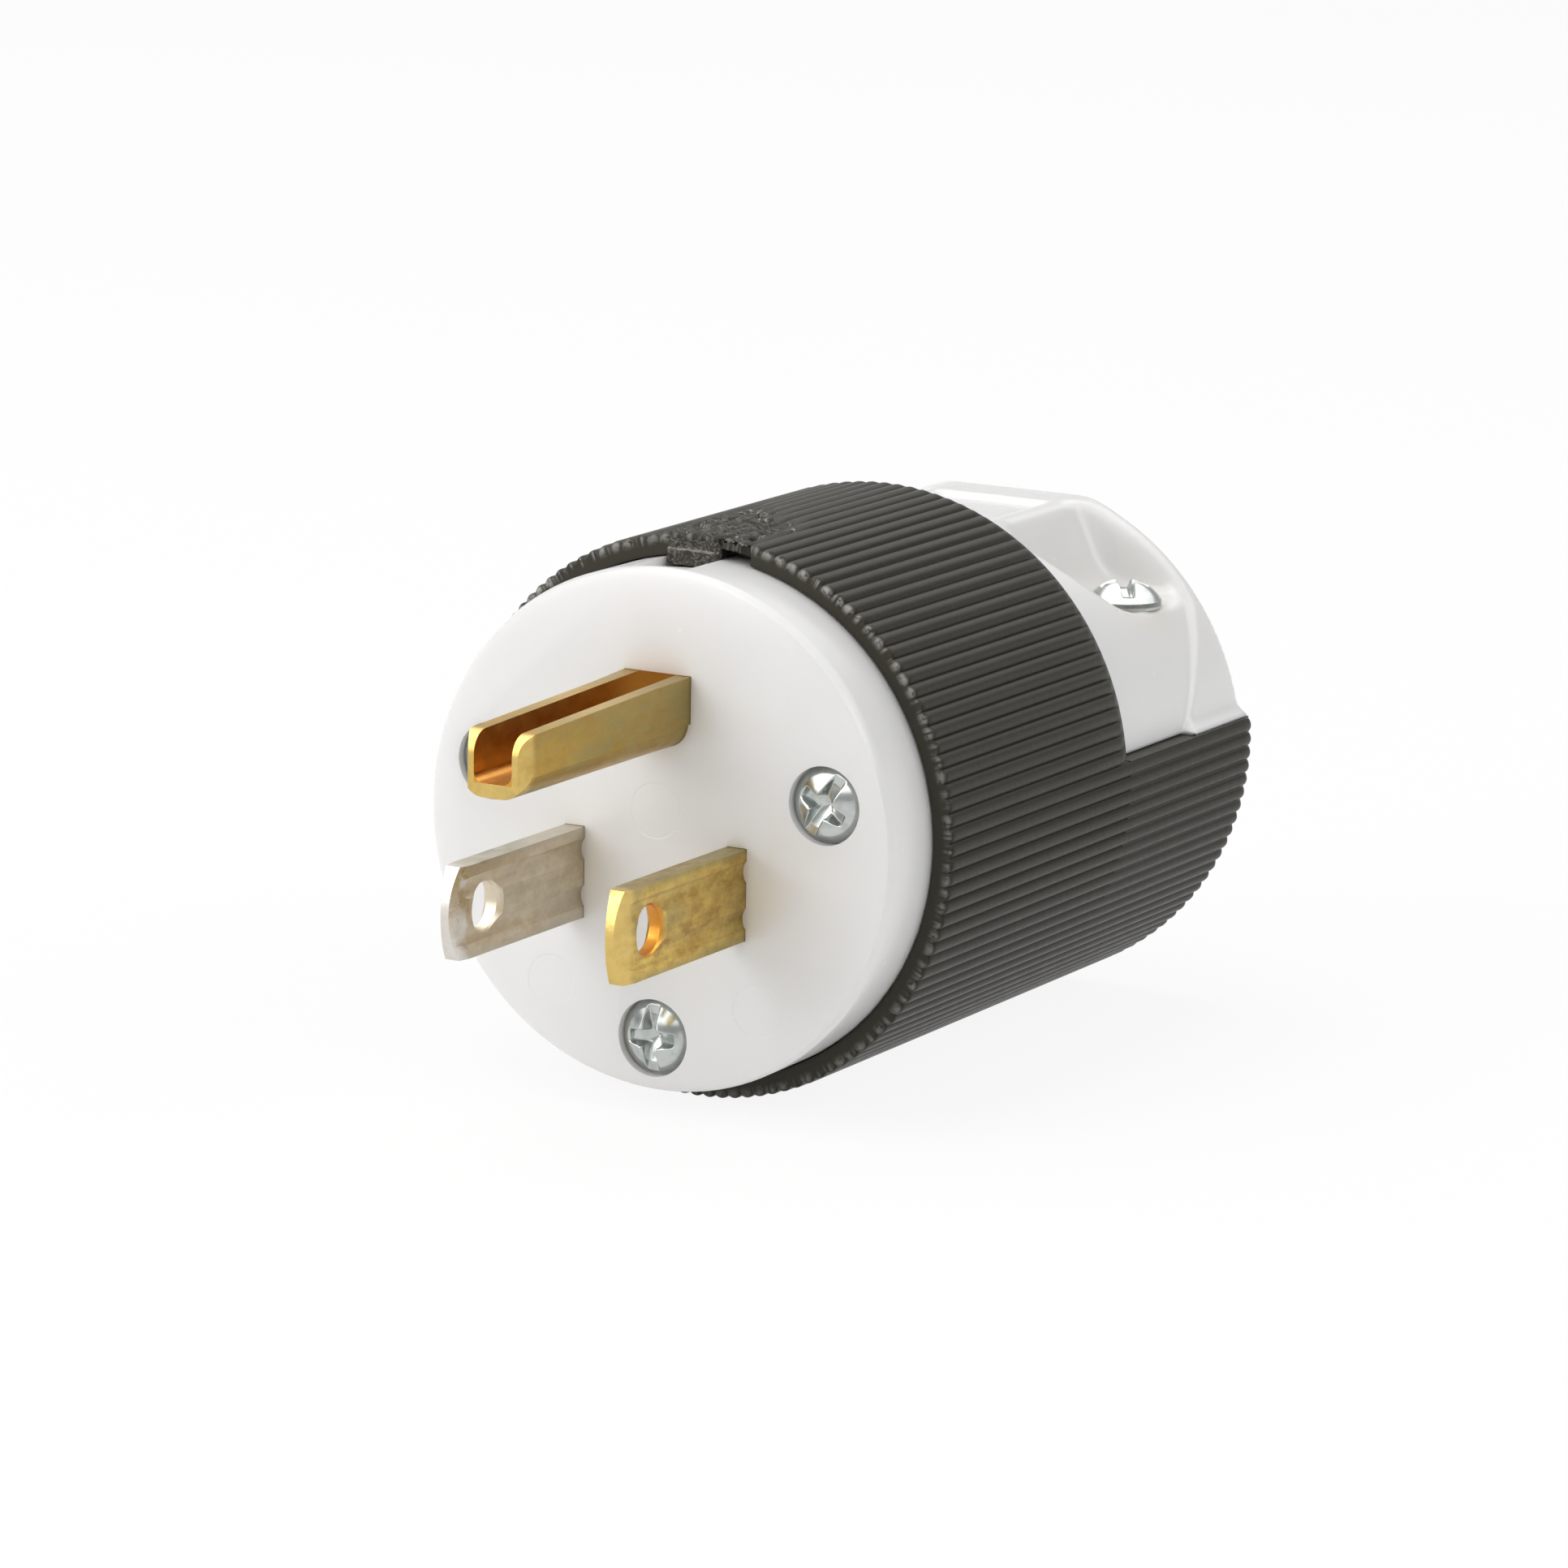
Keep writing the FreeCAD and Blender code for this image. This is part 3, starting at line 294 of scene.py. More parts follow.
class NodeSheet:
    """Node tree of one material or of the world."""

    def __init__(self, tree):
        self.tree = tree

    def add(self, kind, settings=None, inputs=None, output=0):
        """Make a node: its settings first, then its sockets' values or links, and give one output."""
        node = self.tree.nodes.new(kind)
        for name, setting in (settings or {}).items():
            setattr(node, name, setting)
        for key, value in (inputs or {}).items():
            self.feed(node.inputs[key], value)
        return Wire(self, node.outputs[output])

    def feed(self, socket, value):
        """Link a wire to a socket, or set the socket's own value."""
        if isinstance(value, Wire):
            self.tree.links.new(value.socket, socket)
        else:
            socket.default_value = value

    def place(self):
        """Object coordinates and their three numbers."""
        where = self.add("ShaderNodeTexCoord", output="Object")
        parts = [self.add("ShaderNodeSeparateXYZ", inputs={0: where}, output=axis) for axis in range(3)]
        return where, *parts

    def attribute(self, name):
        """Value that a piece's own points carry."""
        return self.add("ShaderNodeAttribute", {"attribute_name": name}, output="Fac")

    def stretched(self, where, scale):
        """Coordinates scaled differently along each axis."""
        return self.add("ShaderNodeMapping", inputs={"Vector": where, "Scale": scale})

    def noise(self, where, scale, detail=3.0, roughness=0.5):
        """Cloudy pattern between 0 and 1."""
        inputs = {"Vector": where, "Scale": scale, "Detail": detail, "Roughness": roughness}
        return self.add("ShaderNodeTexNoise", inputs=inputs)

    def mix(self, share, first, second):
        """Blend two colours."""
        colours = [value if isinstance(value, Wire) else (*value, 1.0) for value in (first, second)]
        inputs = {0: share, 6: colours[0], 7: colours[1]}
        return self.add("ShaderNodeMix", {"data_type": "RGBA"}, inputs, output=2)

    def bump(self, height, distance, strength=1.0):
        """Normal bent by a height pattern; distance is the height of 1, in metres."""
        inputs = {"Height": height, "Distance": distance, "Strength": strength}
        return self.add("ShaderNodeBump", inputs=inputs)


def finish(name, fixed):
    """Start a material, set the constants on its shader's own sockets, and give it, its sheet and shader."""
    material = bpy.data.materials.new(name)
    material.use_nodes = True
    sheet = NodeSheet(material.node_tree)
    shader = material.node_tree.nodes["Principled BSDF"]
    for socket, value in fixed.items():
        shader.inputs[socket].default_value = value
    return material, sheet, shader


def finishes():
    """Settings of the finishes."""
    return bpy.context.scene.plug_finishes


def white_nylon():
    """Glossy white nylon: fine grain, a painted warm reflection round prongs and clamp screws, and moulding
    marks.
    """
    tones = finishes()
    screw = bpy.context.scene.plug_screw
    material, sheet, shader = finish("white_nylon", {
        "Subsurface Weight": 0.30, "Subsurface Scale": 2.0 * MM, "Subsurface Radius": (1.0, 0.95, 0.9)})
    where, x, y, z = sheet.place()
    grain = sheet.noise(where, 900.0, 4.0)
    reach, screw_reach = 5.0 * MM, 7.0 * MM
    # Painted reflection: near is 1 where the prongs and clamp screws would throw warm light on the nylon
    near = spot(x, z, 0.0, PIN_LOW.z + 2.4 * MM, 0.0, reach)
    for blade in (-BLADE_MIDDLE.x, BLADE_MIDDLE.x):
        near = near.at_least(spot(x, z, blade, BLADE_MIDDLE.z, 0.0, reach))
    near = near * y.fall(0.5 * MM, 2.0 * MM)
    seats = spot(abs(x), y, screw.clamp_across, screw.clamp_along - 0.5 * MM, 0.0, screw_reach)
    near = near.at_least(seats * z.rise(7.0 * MM, 9.0 * MM))
    # Painted warm reflection near the prongs and screws, plus the nylon's own grain
    painted_reflection_and_grain = near * 0.30 + grain * 0.06
    sheet.feed(shader.inputs["Base Color"], sheet.mix(painted_reflection_and_grain, tones.white, tones.painted_warm_reflection))
    sheet.feed(shader.inputs["Roughness"], 0.20 + 0.10 * grain)
    marks = 0.0
    for across, height, radius in ((8.1, -11.35, 1.9), (-8.1, -11.35, 1.9), (0.0, 1.5, 2.0)):
        marks = marks + spot(x, z, across * MM, height * MM, (radius - 0.15) * MM, radius * MM)
    marks = marks * y.fall(0.2 * MM, 0.6 * MM)
    sheet.feed(shader.inputs["Normal"], sheet.bump(1.0 - marks, 0.03 * MM))
    return material


def spot(first, second, first_middle, second_middle, inner, outer):
    """Share round a point of a plane: 1 up to the inner radius, fading to 0 at the outer one."""
    away = ((first - first_middle) ** 2 + (second - second_middle) ** 2) ** 0.5
    return away.fall(inner, outer)


def black_nylon():
    """Semi-matte black nylon: brownish clouds, paler worn crests, and scraps whitened where it was torn."""
    tones = finishes()
    shell = bpy.context.scene.plug_shell
    material, sheet, shader = finish("black_nylon", {"Specular IOR Level": 0.13})
    where, x, y, z = sheet.place()
    radius = (x * x + z * z) ** 0.5
    crest = radius.rise(shell.crest - 0.16 * MM, shell.crest)
    grain = sheet.noise(where, 1400.0, 4.0)
    clouds = sheet.noise(where, 130.0, 3.0)
    front = y.fall(shell.front + 0.02 * MM, shell.front + 0.1 * MM) * 0.9
    worn = (crest * (0.25 + 0.5 * clouds) + grain.rise(0.5, 0.8) * 0.25).at_least(front)
    body_tone = sheet.mix(worn.at_most(1.0), tones.black, tones.worn_black)
    torn = sheet.attribute("torn")
    pale = sheet.attribute("pale") * sheet.noise(where, 2400.0, 2.0).rise(0.30, 0.52)
    sheet.feed(shader.inputs["Base Color"], sheet.mix(pale, body_tone, tones.burr))
    sheet.feed(shader.inputs["Roughness"], 0.28 + 0.16 * grain + 0.2 * torn)
    sheet.feed(shader.inputs["Normal"], sheet.bump(grain, 0.03 * MM, 0.6))
    return material


def mottled(sheet, where, first, second, third):
    """Metal tone: clouds of two kinds of tarnish over the clean one, drawn out in streaks along the prong."""
    blotches = sheet.noise(sheet.stretched(where, (1.0, 0.6, 1.0)), 950.0, 6.0, 0.72)
    clouds = sheet.noise(sheet.stretched(where, (1.0, 0.35, 1.0)), 260.0, 4.0, 0.6)
    streaks = sheet.noise(sheet.stretched(where, (1.0, 0.10, 1.0)), 1500.0, 3.0)
    spots = sheet.noise(where, 2300.0, 2.0)
    brown = blotches.rise(0.34, 0.68) * 0.80 + streaks.rise(0.45, 0.72) * 0.35
    grey = clouds.rise(0.40, 0.68) * 0.70 + spots.rise(0.54, 0.74) * 0.35
    tone = sheet.mix(brown.at_most(1.0), first, second)
    return sheet.mix(grey.at_most(1.0), tone, third), brown, blotches + 0.6 * streaks + 0.4 * spots


def prong_metal(name, clean, brown, grey, bright, inside):
    """Rolled sheet metal: tarnish in clouds and streaks, greyer edges, a rubbed tip and a lock hole painted
    in the inside tone, which for brass is a painted orange reflection.
    """
    prong = bpy.context.scene.plug_prong
    material, sheet, shader = finish(name, {"Metallic": 1.0})
    where, x, y, z = sheet.place()
    tone, share, relief = mottled(sheet, where, clean, brown, grey)
    edge = abs(z - BLADE_MIDDLE.z).rise(2.6 * MM, 3.1 * MM) * 0.55
    tone = sheet.mix(edge, tone, grey)
    rubbed = y.fall(BLADE_LOW.y + 1.5 * MM, BLADE_LOW.y + 2.1 * MM)
    tone = sheet.mix(rubbed * (0.95 - 0.3 * share), tone, bright)
    rim = prong.hole_radius
    # Painted reflection: the lock hole takes the inside tone, which for brass is the orange of light bouncing
    # round the hole
    hole = spot(y, z, prong.hole_along, BLADE_MIDDLE.z, rim + 0.01 * MM, rim + 0.3 * MM)
    tone = sheet.mix(hole, tone, inside)
    sheet.feed(shader.inputs["Base Color"], tone)
    sheet.feed(shader.inputs["Roughness"], 0.30 + 0.16 * share - 0.06 * rubbed)
    sheet.feed(shader.inputs["Normal"], sheet.bump(relief, 0.04 * MM, 0.5))
    return material


def pin_metal():
    """Brass of the folded ground pin, with a painted orange reflection inside the fold, rubbed at its end.

    Light that the nylon passes on shows as a faint glow inside the root of the fold.
    """
    tones = finishes()
    material, sheet, shader = finish("brass_pin", {"Metallic": 1.0, "Emission Strength": 1.0})
    where, x, y, z = sheet.place()
    tone, share, relief = mottled(sheet, where, tones.pin_brass, tones.tarnish, tones.patina)
    rubbed = y.fall(PIN_LOW.y + 0.8 * MM, PIN_LOW.y + 1.6 * MM)
    tone = sheet.mix(rubbed * (0.9 - 0.5 * share), tone, tones.bright_brass)
    fold = abs(x).fall(1.4 * MM, 1.5 * MM) * z.rise(PIN_LOW.z + 0.9 * MM, PIN_LOW.z + 1.0 * MM)
    # Painted reflection: the fold is mixed toward the orange of light bouncing inside it
    sheet.feed(shader.inputs["Base Color"], sheet.mix(fold * 0.85, tone, tones.hollow_reflection))
    lit = fold * y.rise(-5.5 * MM, 0.5 * MM) ** 1.5
    sheet.feed(shader.inputs["Emission Color"], sheet.mix(lit, (0.0, 0.0, 0.0), tones.lit_copper))
    sheet.feed(shader.inputs["Roughness"], 0.30 + 0.16 * share - 0.06 * rubbed)
    sheet.feed(shader.inputs["Normal"], sheet.bump(relief, 0.04 * MM, 0.5))
    return material


def plated(name, tone, scale):
    """Bright plate with faint clouds."""
    material, sheet, shader = finish(name, {"Metallic": 1.0})
    where = sheet.place()[0]
    clouds = sheet.noise(where, scale, 4.0)
    shade = tuple(0.72 * part for part in tone)
    sheet.feed(shader.inputs["Base Color"], sheet.mix(clouds.rise(0.4, 0.75), tone, shade))
    sheet.feed(shader.inputs["Roughness"], 0.14 + 0.16 * clouds)
    sheet.feed(shader.inputs["Normal"], sheet.bump(clouds, 0.03 * MM, 0.5))
    return material


def seal_rubber():
    """Matt rubber with a fine grain."""
    material, sheet, shader = finish("seal_rubber", {})
    where = sheet.place()[0]
    grain = sheet.noise(where, 2000.0, 3.0)
    tone = finishes().rubber
    sheet.feed(shader.inputs["Base Color"], sheet.mix(grain, tone, tuple(1.6 * part for part in tone)))
    sheet.feed(shader.inputs["Roughness"], 0.7 + 0.2 * grain)
    return material


# Mesh helpers

def grid_faces(rows, columns, close_rows=False, close_columns=False):
    """Four-sided faces of a grid of points, row after row, wrapped round where it is closed."""
    down = np.arange(rows if close_rows else rows - 1)
    along = np.arange(columns if close_columns else columns - 1)
    row, column = np.meshgrid(down, along, indexing="ij")
    next_row = (row + 1) % rows
    next_column = (column + 1) % columns
    corners = [row * columns + column, row * columns + next_column,
               next_row * columns + next_column, next_row * columns + column]
    return np.stack(corners, axis=-1).reshape(-1, 4)


def outward(points, faces):
    """Turn all faces round if the closed shape's signed volume is negative."""
    first, second, third = (points[faces[:, corner]] for corner in (0, 1, 2))
    fourth = points[faces[:, 3]]
    signed = np.einsum("ij,ij->i", first, np.cross(second, third)).sum()
    signed += np.einsum("ij,ij->i", first, np.cross(third, fourth)).sum()
    return faces if signed > 0 else faces[:, ::-1]


def joined(grids):
    """Points and outward faces of several grids, each with its rows or columns closed.

    A grid whose columns aren't closed gets a flat cap on its first and last column.
    """
    points, faces = [], []
    total = 0
    for grid, rows_closed, columns_closed in grids:
        rows, columns = grid.shape[:2]
        flat = grid.reshape(-1, 3)
        quads = outward(flat, grid_faces(rows, columns, rows_closed, columns_closed))
        points.append(flat)
        faces.extend((quads + total).tolist())
        if not columns_closed:
            ends = np.arange(rows) * columns + total
            faces.extend([ends.tolist(), (ends + columns - 1)[::-1].tolist()])
        total += len(flat)
    return np.concatenate(points), faces


def give_values(piece, name, *grids):
    """Store one value a point for the piece's finish, from grids in the order of its points."""
    values = np.concatenate([grid.ravel() for grid in grids]).astype(np.float32)
    piece.data.attributes.new(name, "FLOAT", "POINT").data.foreach_set("value", values)


def new_piece(name, points, faces, material, slot, *nodes, sharp=None):
    """Make a smooth piece from points and faces, give it its finish, and let it stand for solids.

    Edges that turn by more than the sharp angle, in degrees, stay hard.
    """
    mesh = bpy.data.meshes.new(name)
    mesh.from_pydata(points.tolist(), [], [list(face) for face in faces])
    mesh.polygons.foreach_set("use_smooth", np.ones(len(mesh.polygons), dtype=bool))
    mesh.update()
    mesh.validate()
    if sharp:
        mesh.set_sharp_from_angle(angle=math.radians(sharp))
    piece = bpy.data.objects.new(name, mesh)
    bpy.context.scene.collection.objects.link(piece)
    mesh.materials.append(material)
    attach(piece, BODY)
    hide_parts(*nodes)
    return piece


def eased_copy(name, node, material, slot, bevel, angle):
    """Merged copy of a solid's triangles. Edges that turn by more than the angle, in degrees, get a bevel."""
    shape = bmesh.new()
    shape.from_mesh(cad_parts[node].data)
    bmesh.ops.remove_doubles(shape, verts=shape.verts, dist=0.002 * MM)
    bmesh.ops.dissolve_limit(shape, angle_limit=math.radians(1.0), verts=shape.verts, edges=shape.edges)
    shape.verts.index_update()
    points = np.array([vertex.co[:] for vertex in shape.verts])
    faces = [[vertex.index for vertex in face.verts] for face in shape.faces]
    shape.free()
    piece = new_piece(name, points, faces, material, slot, node)
    ease = piece.modifiers.new("Eased edges", "BEVEL")
    ease.width = bevel
    ease.segments = 3
    ease.limit_method = "ANGLE"
    ease.angle_limit = math.radians(angle)
    ease.harden_normals = True
    ease.miter_outer = "MITER_ARC"
    return piece


# Shell

def rib_height(turn, shell):
    """Height of the ribs at an angle, from 0 to 1: flat arcs of a circle that meet in sharp grooves."""
    steep = 1.5
    phase = turn * shell.rib_count / (2 * np.pi)
    phase = phase - np.round(phase)
    low = math.sqrt(1.0 - steep ** 2 / 4.0)
    return (np.sqrt(1.0 - (steep * phase) ** 2) - low) / (1.0 - low)


def smooth(value, low, high):
    """Smooth step from 0 at low to 1 at high."""
    share = np.clip((value - low) / (high - low), 0.0, 1.0)
    return share * share * (3.0 - 2.0 * share)


def ripple(first, second, seed):
    """Smooth disorder between -1 and 1: the mean of crossed sine waves with drawn directions."""
    draw = np.random.default_rng(seed)
    waves = [draw.uniform(-1.0, 1.0, 4) for _ in range(7)]
    total = sum(
        np.sin(first * 9.0 * wave[0] + second * 9.0 * wave[1] + 6.0 * wave[2]) for wave in waves)
    return total / len(waves)


def torn_share(x, y, shell):
    """Share of the torn patch behind the key, with a wandering edge and a slanted end."""
    wander = 0.5 * MM * ripple(x / MM, y / MM, 3)
    side = np.abs(x - shell.patch_shift) + wander
    across = 1.0 - smooth(side, shell.patch_half - 0.3 * MM, shell.patch_half + 0.3 * MM)
    past = y + 1.5 * wander + shell.patch_slant * x - shell.front - shell.patch_length
    return across * (1.0 - smooth(past, -0.5 * MM, 0.5 * MM))


def ribbed(radius, turn, shell):
    """Radius lowered in the grooves between the ribs."""
    return radius - shell.rib_depth * (1.0 - rib_height(turn, shell))


def rib_share(radius, shell):
    """Share of the ribs at a radius: none on the inner faces, all near the crest."""
    return smooth(radius, shell.crest - 0.9 * MM, shell.crest - 0.2 * MM)


def rib_number(turn, shell):
    """Which rib an angle falls on."""
    return np.round(turn * shell.rib_count / (2 * np.pi)).astype(int) % shell.rib_count


def round_points(radius, along, angle):
    """Points at a radius, a place along the axis and an angle round it."""
    return np.stack([radius * np.cos(angle), along, radius * np.sin(angle)], axis=-1)


def crumbled(draw, shape):
    """Random grid between 0 and 1, each value the mean of itself and two neighbours."""
    raw = draw.uniform(0.0, 1.0, shape)
    return (raw + np.roll(raw, 1, axis=0) + np.roll(raw, 1, axis=1)) / 3.0


def wall_stations(shell, rear, start):
    """Radii and places of a profile's inside: down the rear, through the cord hole and back to the start."""
    chamber = shell.crest - shell.rib_depth - shell.wall
    ease = 0.3 * MM
    wall_front = rear - shell.wall
    radius = [chamber, shell.cord + ease, shell.cord, shell.cord, chamber, chamber]
    return radius, [rear, rear, rear - ease, wall_front, wall_front, start]


def ring_profile(shell):
    """Stations of the ring's profile: radius, place along the axis and how far the rear edge is rounded in.

    It runs from the bore over the front, along the ribs, round the rear edge and back through the
    wall's inside.
    """
    annulus = np.linspace(shell.bore + 0.1 * MM, shell.crest - 0.25 * MM, 7)
    # The front and rear edges are rounded: how far in each station lies, and how far from the end
    edge = np.array([0.15, 0.06, 0.015, 0.0]) * MM
    edge_along = np.array([0.02, 0.08, 0.18, 0.35]) * MM
    body_along = np.concatenate([[0.7], np.arange(1.5, 12.5, 1.5), [14.0, 19.0]]) * MM
    rear = np.array([0.0, 0.05, 0.16, 0.30, 0.42, 0.60, 0.85]) * MM
    rear_along = np.array([1.50, 1.10, 0.75, 0.42, 0.20, 0.05, 0.0]) * MM
    inner, inner_along = wall_stations(shell, shell.ring_rear, shell.seat)
    radius = np.concatenate([
        [shell.bore, shell.bore, shell.bore + 0.03 * MM], annulus, shell.crest - edge,
        np.full(len(body_along) + len(rear), shell.crest), inner])
    along = np.concatenate([
        [shell.seat, shell.front + 0.1 * MM, shell.front + 0.03 * MM], np.full(len(annulus), shell.front),
        shell.front + edge_along, shell.front + body_along, shell.ring_rear - rear_along, inner_along])
    easing = np.zeros(len(radius))
    easing[-len(inner) - len(rear):-len(inner)] = rear
    return radius, along, easing


def ring_points(shell, key):
    """Closed ring, its profile carried round the axis, and how pale the burrs on its rib ends are.

    The ribs fade before the rear edge. Below the split that edge stays square, because the cradle goes
    on from it. Rows are stations of the profile, columns are angles.
    """
    count = shell.rib_count * shell.rib_samples
    turn = np.arange(count) * (2 * np.pi / count)
    radius, along, easing = ring_profile(shell)
    radius, angle = np.meshgrid(radius, turn, indexing="ij")
    along = np.repeat(along[:, None], count, axis=1)
    above = shell.crest * np.sin(turn) > shell.split
    easing = easing[:, None] * above[None, :]
    ribs = rib_share(radius, shell) * (1.0 - smooth(easing, 0.0, 0.35 * MM))
    torn = torn_share(radius * np.cos(angle), along, shell) * (np.sin(angle) > 0)
    torn = torn * (along > shell.front + 0.2 * MM)
    radius = radius - easing - shell.patch_bed * torn
    shaped = ribs * ribbed(radius, angle, shell) + (1.0 - ribs) * radius
    at_front = smooth(-along, -shell.front - 0.12 * MM, -shell.front + 0.02 * MM) * ribs
    draw = np.random.default_rng(11)
    ragged = draw.uniform(0.0, 1.0, shell.rib_count)[rib_number(turn, shell)]
    shaped = shaped - at_front * 0.05 * MM * ragged
    along = along - at_front * shell.burr * ragged * (ragged > 0.35) * rib_height(turn, shell)
    notch = notch_share(shaped * np.cos(angle), shaped * np.sin(angle), key)
    notch = notch * (along < shell.front + 0.3 * MM) * (shaped < shell.crest - 0.3 * MM)
    along = along + notch * key.notch_depth
    frayed = draw.uniform(0.0, 1.0, count)
    frayed = (frayed + np.roll(frayed, 1) + np.roll(frayed, 2)) / 3.0
    pale = worn_stretches(turn) * smooth(frayed + 0.3 * ragged, 0.40, 0.70)
    return round_points(shaped, along, angle), at_front * pale * rib_height(turn, shell)


def worn_stretches(turn):
    """Strength of the burrs round the ring: bell curves on each side of the key, weaker elsewhere."""
    right = np.exp(-((turn - math.radians(55.0)) / 0.45) ** 2)
    left = np.exp(-((turn - math.radians(128.0)) / 0.35) ** 2)
    return 0.45 + 0.55 * np.maximum(right, left)


def patch_points(shell):
    """Torn patch behind the key, a fine slab whose top breaks the ribs, with its pale scraps and its share.

    Each rib is cut into short scraps that stand at drawn heights, and crumbs lie over them. Outside the
    patch the slab stays a little under the ribs. The scraps' ends and the patch's end are pale.
    """
    steps = np.arange(0.15, 12.6, 0.09) * MM + shell.front
    along = np.concatenate([steps, steps[-1:], steps[:1]])
    half = shell.patch_half + 1.0 * MM
    spread = np.linspace(half, -half, 110) + shell.patch_shift
    along, angle = np.meshgrid(along, np.arccos(spread / shell.crest), indexing="ij")
    x = shell.crest * np.cos(angle)
    torn = torn_share(x, along, shell)
    draw = np.random.default_rng(7)
    rib = rib_number(angle, shell)
    late = draw.uniform(0.0, 1.0, shell.rib_count)
    levels = draw.uniform(0.0, 1.0, (shell.rib_count, 24))
    level = levels[rib, ((along - shell.front) / shell.scrap + late[rib]).astype(int)]
    crumbs = crumbled(draw, torn.shape)
    sunk = (0.26 * smooth(level, 0.35, 0.9) + 0.12 * crumbs) * MM
    top = ribbed(shell.crest, angle, shell) - torn * sunk - (1.0 - torn) * 0.12 * MM
    ends = np.abs(level - np.roll(level, 1, axis=0)) + np.abs(level - np.roll(level, -1, axis=0))
    past = along + shell.patch_slant * x - shell.front - shell.patch_length
    brink = 1.0 - smooth(np.abs(past), 0.1 * MM, 0.6 * MM)
    pale = torn * smooth(crumbs, 0.35, 0.7) * (0.25 + 0.75 * smooth(ends, 0.3, 0.7))
    pale = np.maximum(pale, 0.9 * brink * smooth(crumbs, 0.40, 0.62)) * (torn > 0.05)
    top[-2:] = shell.crest - 0.9 * MM
    return round_points(top, along, angle), pale, torn


def notch_share(x, z, key):
    """Share of the notch on the right of the key, in the ring's front."""
    start = smooth(x, key.right - 0.05 * MM, key.right + 0.15 * MM)
    return start * (1.0 - smooth(x, key.notch - 0.2 * MM, key.notch + 0.2 * MM)) * (z > 0)


def cradle_points(shell):
    """Half-round cradle: a closed profile carried round the axis below the split.

    Each station's first and last angle put it on the split plane, asin(split / radius).
    """
    start = shell.ring_rear
    rear = np.array([0.0, 0.05, 0.18, 0.42, 0.70]) * MM
    rear_along = np.array([0.75, 0.42, 0.18, 0.04, 0.0]) * MM
    body_along = np.linspace(start, shell.rear - 1.5 * MM, 6)
    inner, inner_along = wall_stations(shell, shell.rear, start)
    along = np.concatenate([body_along, shell.rear - rear_along, inner_along])
    radius = np.concatenate([np.full(len(body_along), shell.crest), shell.crest - rear, inner])
    count = shell.rib_count * shell.rib_samples // 2 + shell.rib_samples * 3
    share = np.linspace(0.0, 1.0, count)
    lift = np.arcsin(shell.split / radius)[:, None]
    angle = lift - share[None, :] * (np.pi + 2 * lift)
    radius = np.repeat(radius[:, None], count, axis=1)
    along = np.repeat(along[:, None], count, axis=1)
    ribs = rib_share(radius, shell)
    return round_points(ribs * ribbed(radius, angle, shell) + (1.0 - ribs) * radius, along, angle)


def key_points(shell, key):
    """Rough block of the key with its pale chips: a front of two steps, a top, and the plain hidden sides."""
    rows, deep, columns = 34, 30, 64
    inset, set_back, lumps, chips = 0.05 * MM, 0.16 * MM, 0.08 * MM, 0.07 * MM
    up = np.linspace(key.low + inset, key.high - inset, rows)
    back = np.linspace(key.front + 0.25 * MM, shell.front + key.reach, deep)
    z = np.concatenate([up, np.full(deep, key.high), [key.low]])
    y = np.concatenate([np.full(rows, key.front), back, back[-1:]])
    y, x = np.meshgrid(y, np.linspace(key.left, key.right, columns), indexing="ij")
    z = np.repeat(z[:, None], columns, axis=1)
    crumbs = crumbled(np.random.default_rng(5), x.shape)
    line = key.step + 0.06 * MM * ripple(x / MM * 1.4, 0.0 * x, 4)
    upper = smooth(z, line - 0.05 * MM, line + 0.05 * MM)
    front = np.arange(len(z))[:, None] < rows
    rough = 0.5 + 0.5 * ripple(x / MM * 1.6, z / MM * 3.0, 8)
    end = np.minimum(x - key.left, key.right - x)
    ease = 0.12 * MM * (1.0 - smooth(end, 0.0, 0.2 * MM))
    y = y + front * (set_back * upper + lumps * rough + chips * crumbs + ease)
    z = z - (z > key.high - 0.01 * MM) * (0.12 * MM * rough + 0.08 * MM * crumbs)
    edge = 1.0 - smooth(np.abs(z - line), 0.03 * MM, 0.10 * MM)
    pale_front = np.maximum(0.55 * edge, 0.35 * smooth(crumbs, 0.45, 0.7))
    pale = np.where(front, pale_front, 0.4 * smooth(crumbs, 0.5, 0.7))
    return np.stack([x, y, z], axis=-1), pale


class PLUG_OT_shell(bpy.types.Operator):
    """Ribbed black shell with its key, from ring, cradle and key surfaces"""
    bl_idname = "plug.shell"
    bl_label = "Shell"

    def execute(self, context):
        shell = context.scene.plug_shell
        ring, burrs = ring_points(shell, context.scene.plug_key)
        patch, scraps, torn = patch_points(shell)
        key, chips = key_points(shell, context.scene.plug_key)
        cradle = cradle_points(shell)
        plain = np.zeros(cradle.shape[:2])
        points, faces = joined(
            ((ring, True, True), (patch, True, False), (key, True, False), (cradle, True, False)))
        piece = new_piece("housing_skin", points, faces, black_nylon(), "black_nylon", "housing", sharp=70)
        give_values(piece, "pale", burrs, scraps, chips, plain)
        give_values(piece, "torn", np.zeros_like(burrs), torn, np.ones_like(chips), plain)
        return {"FINISHED"}


# Screws

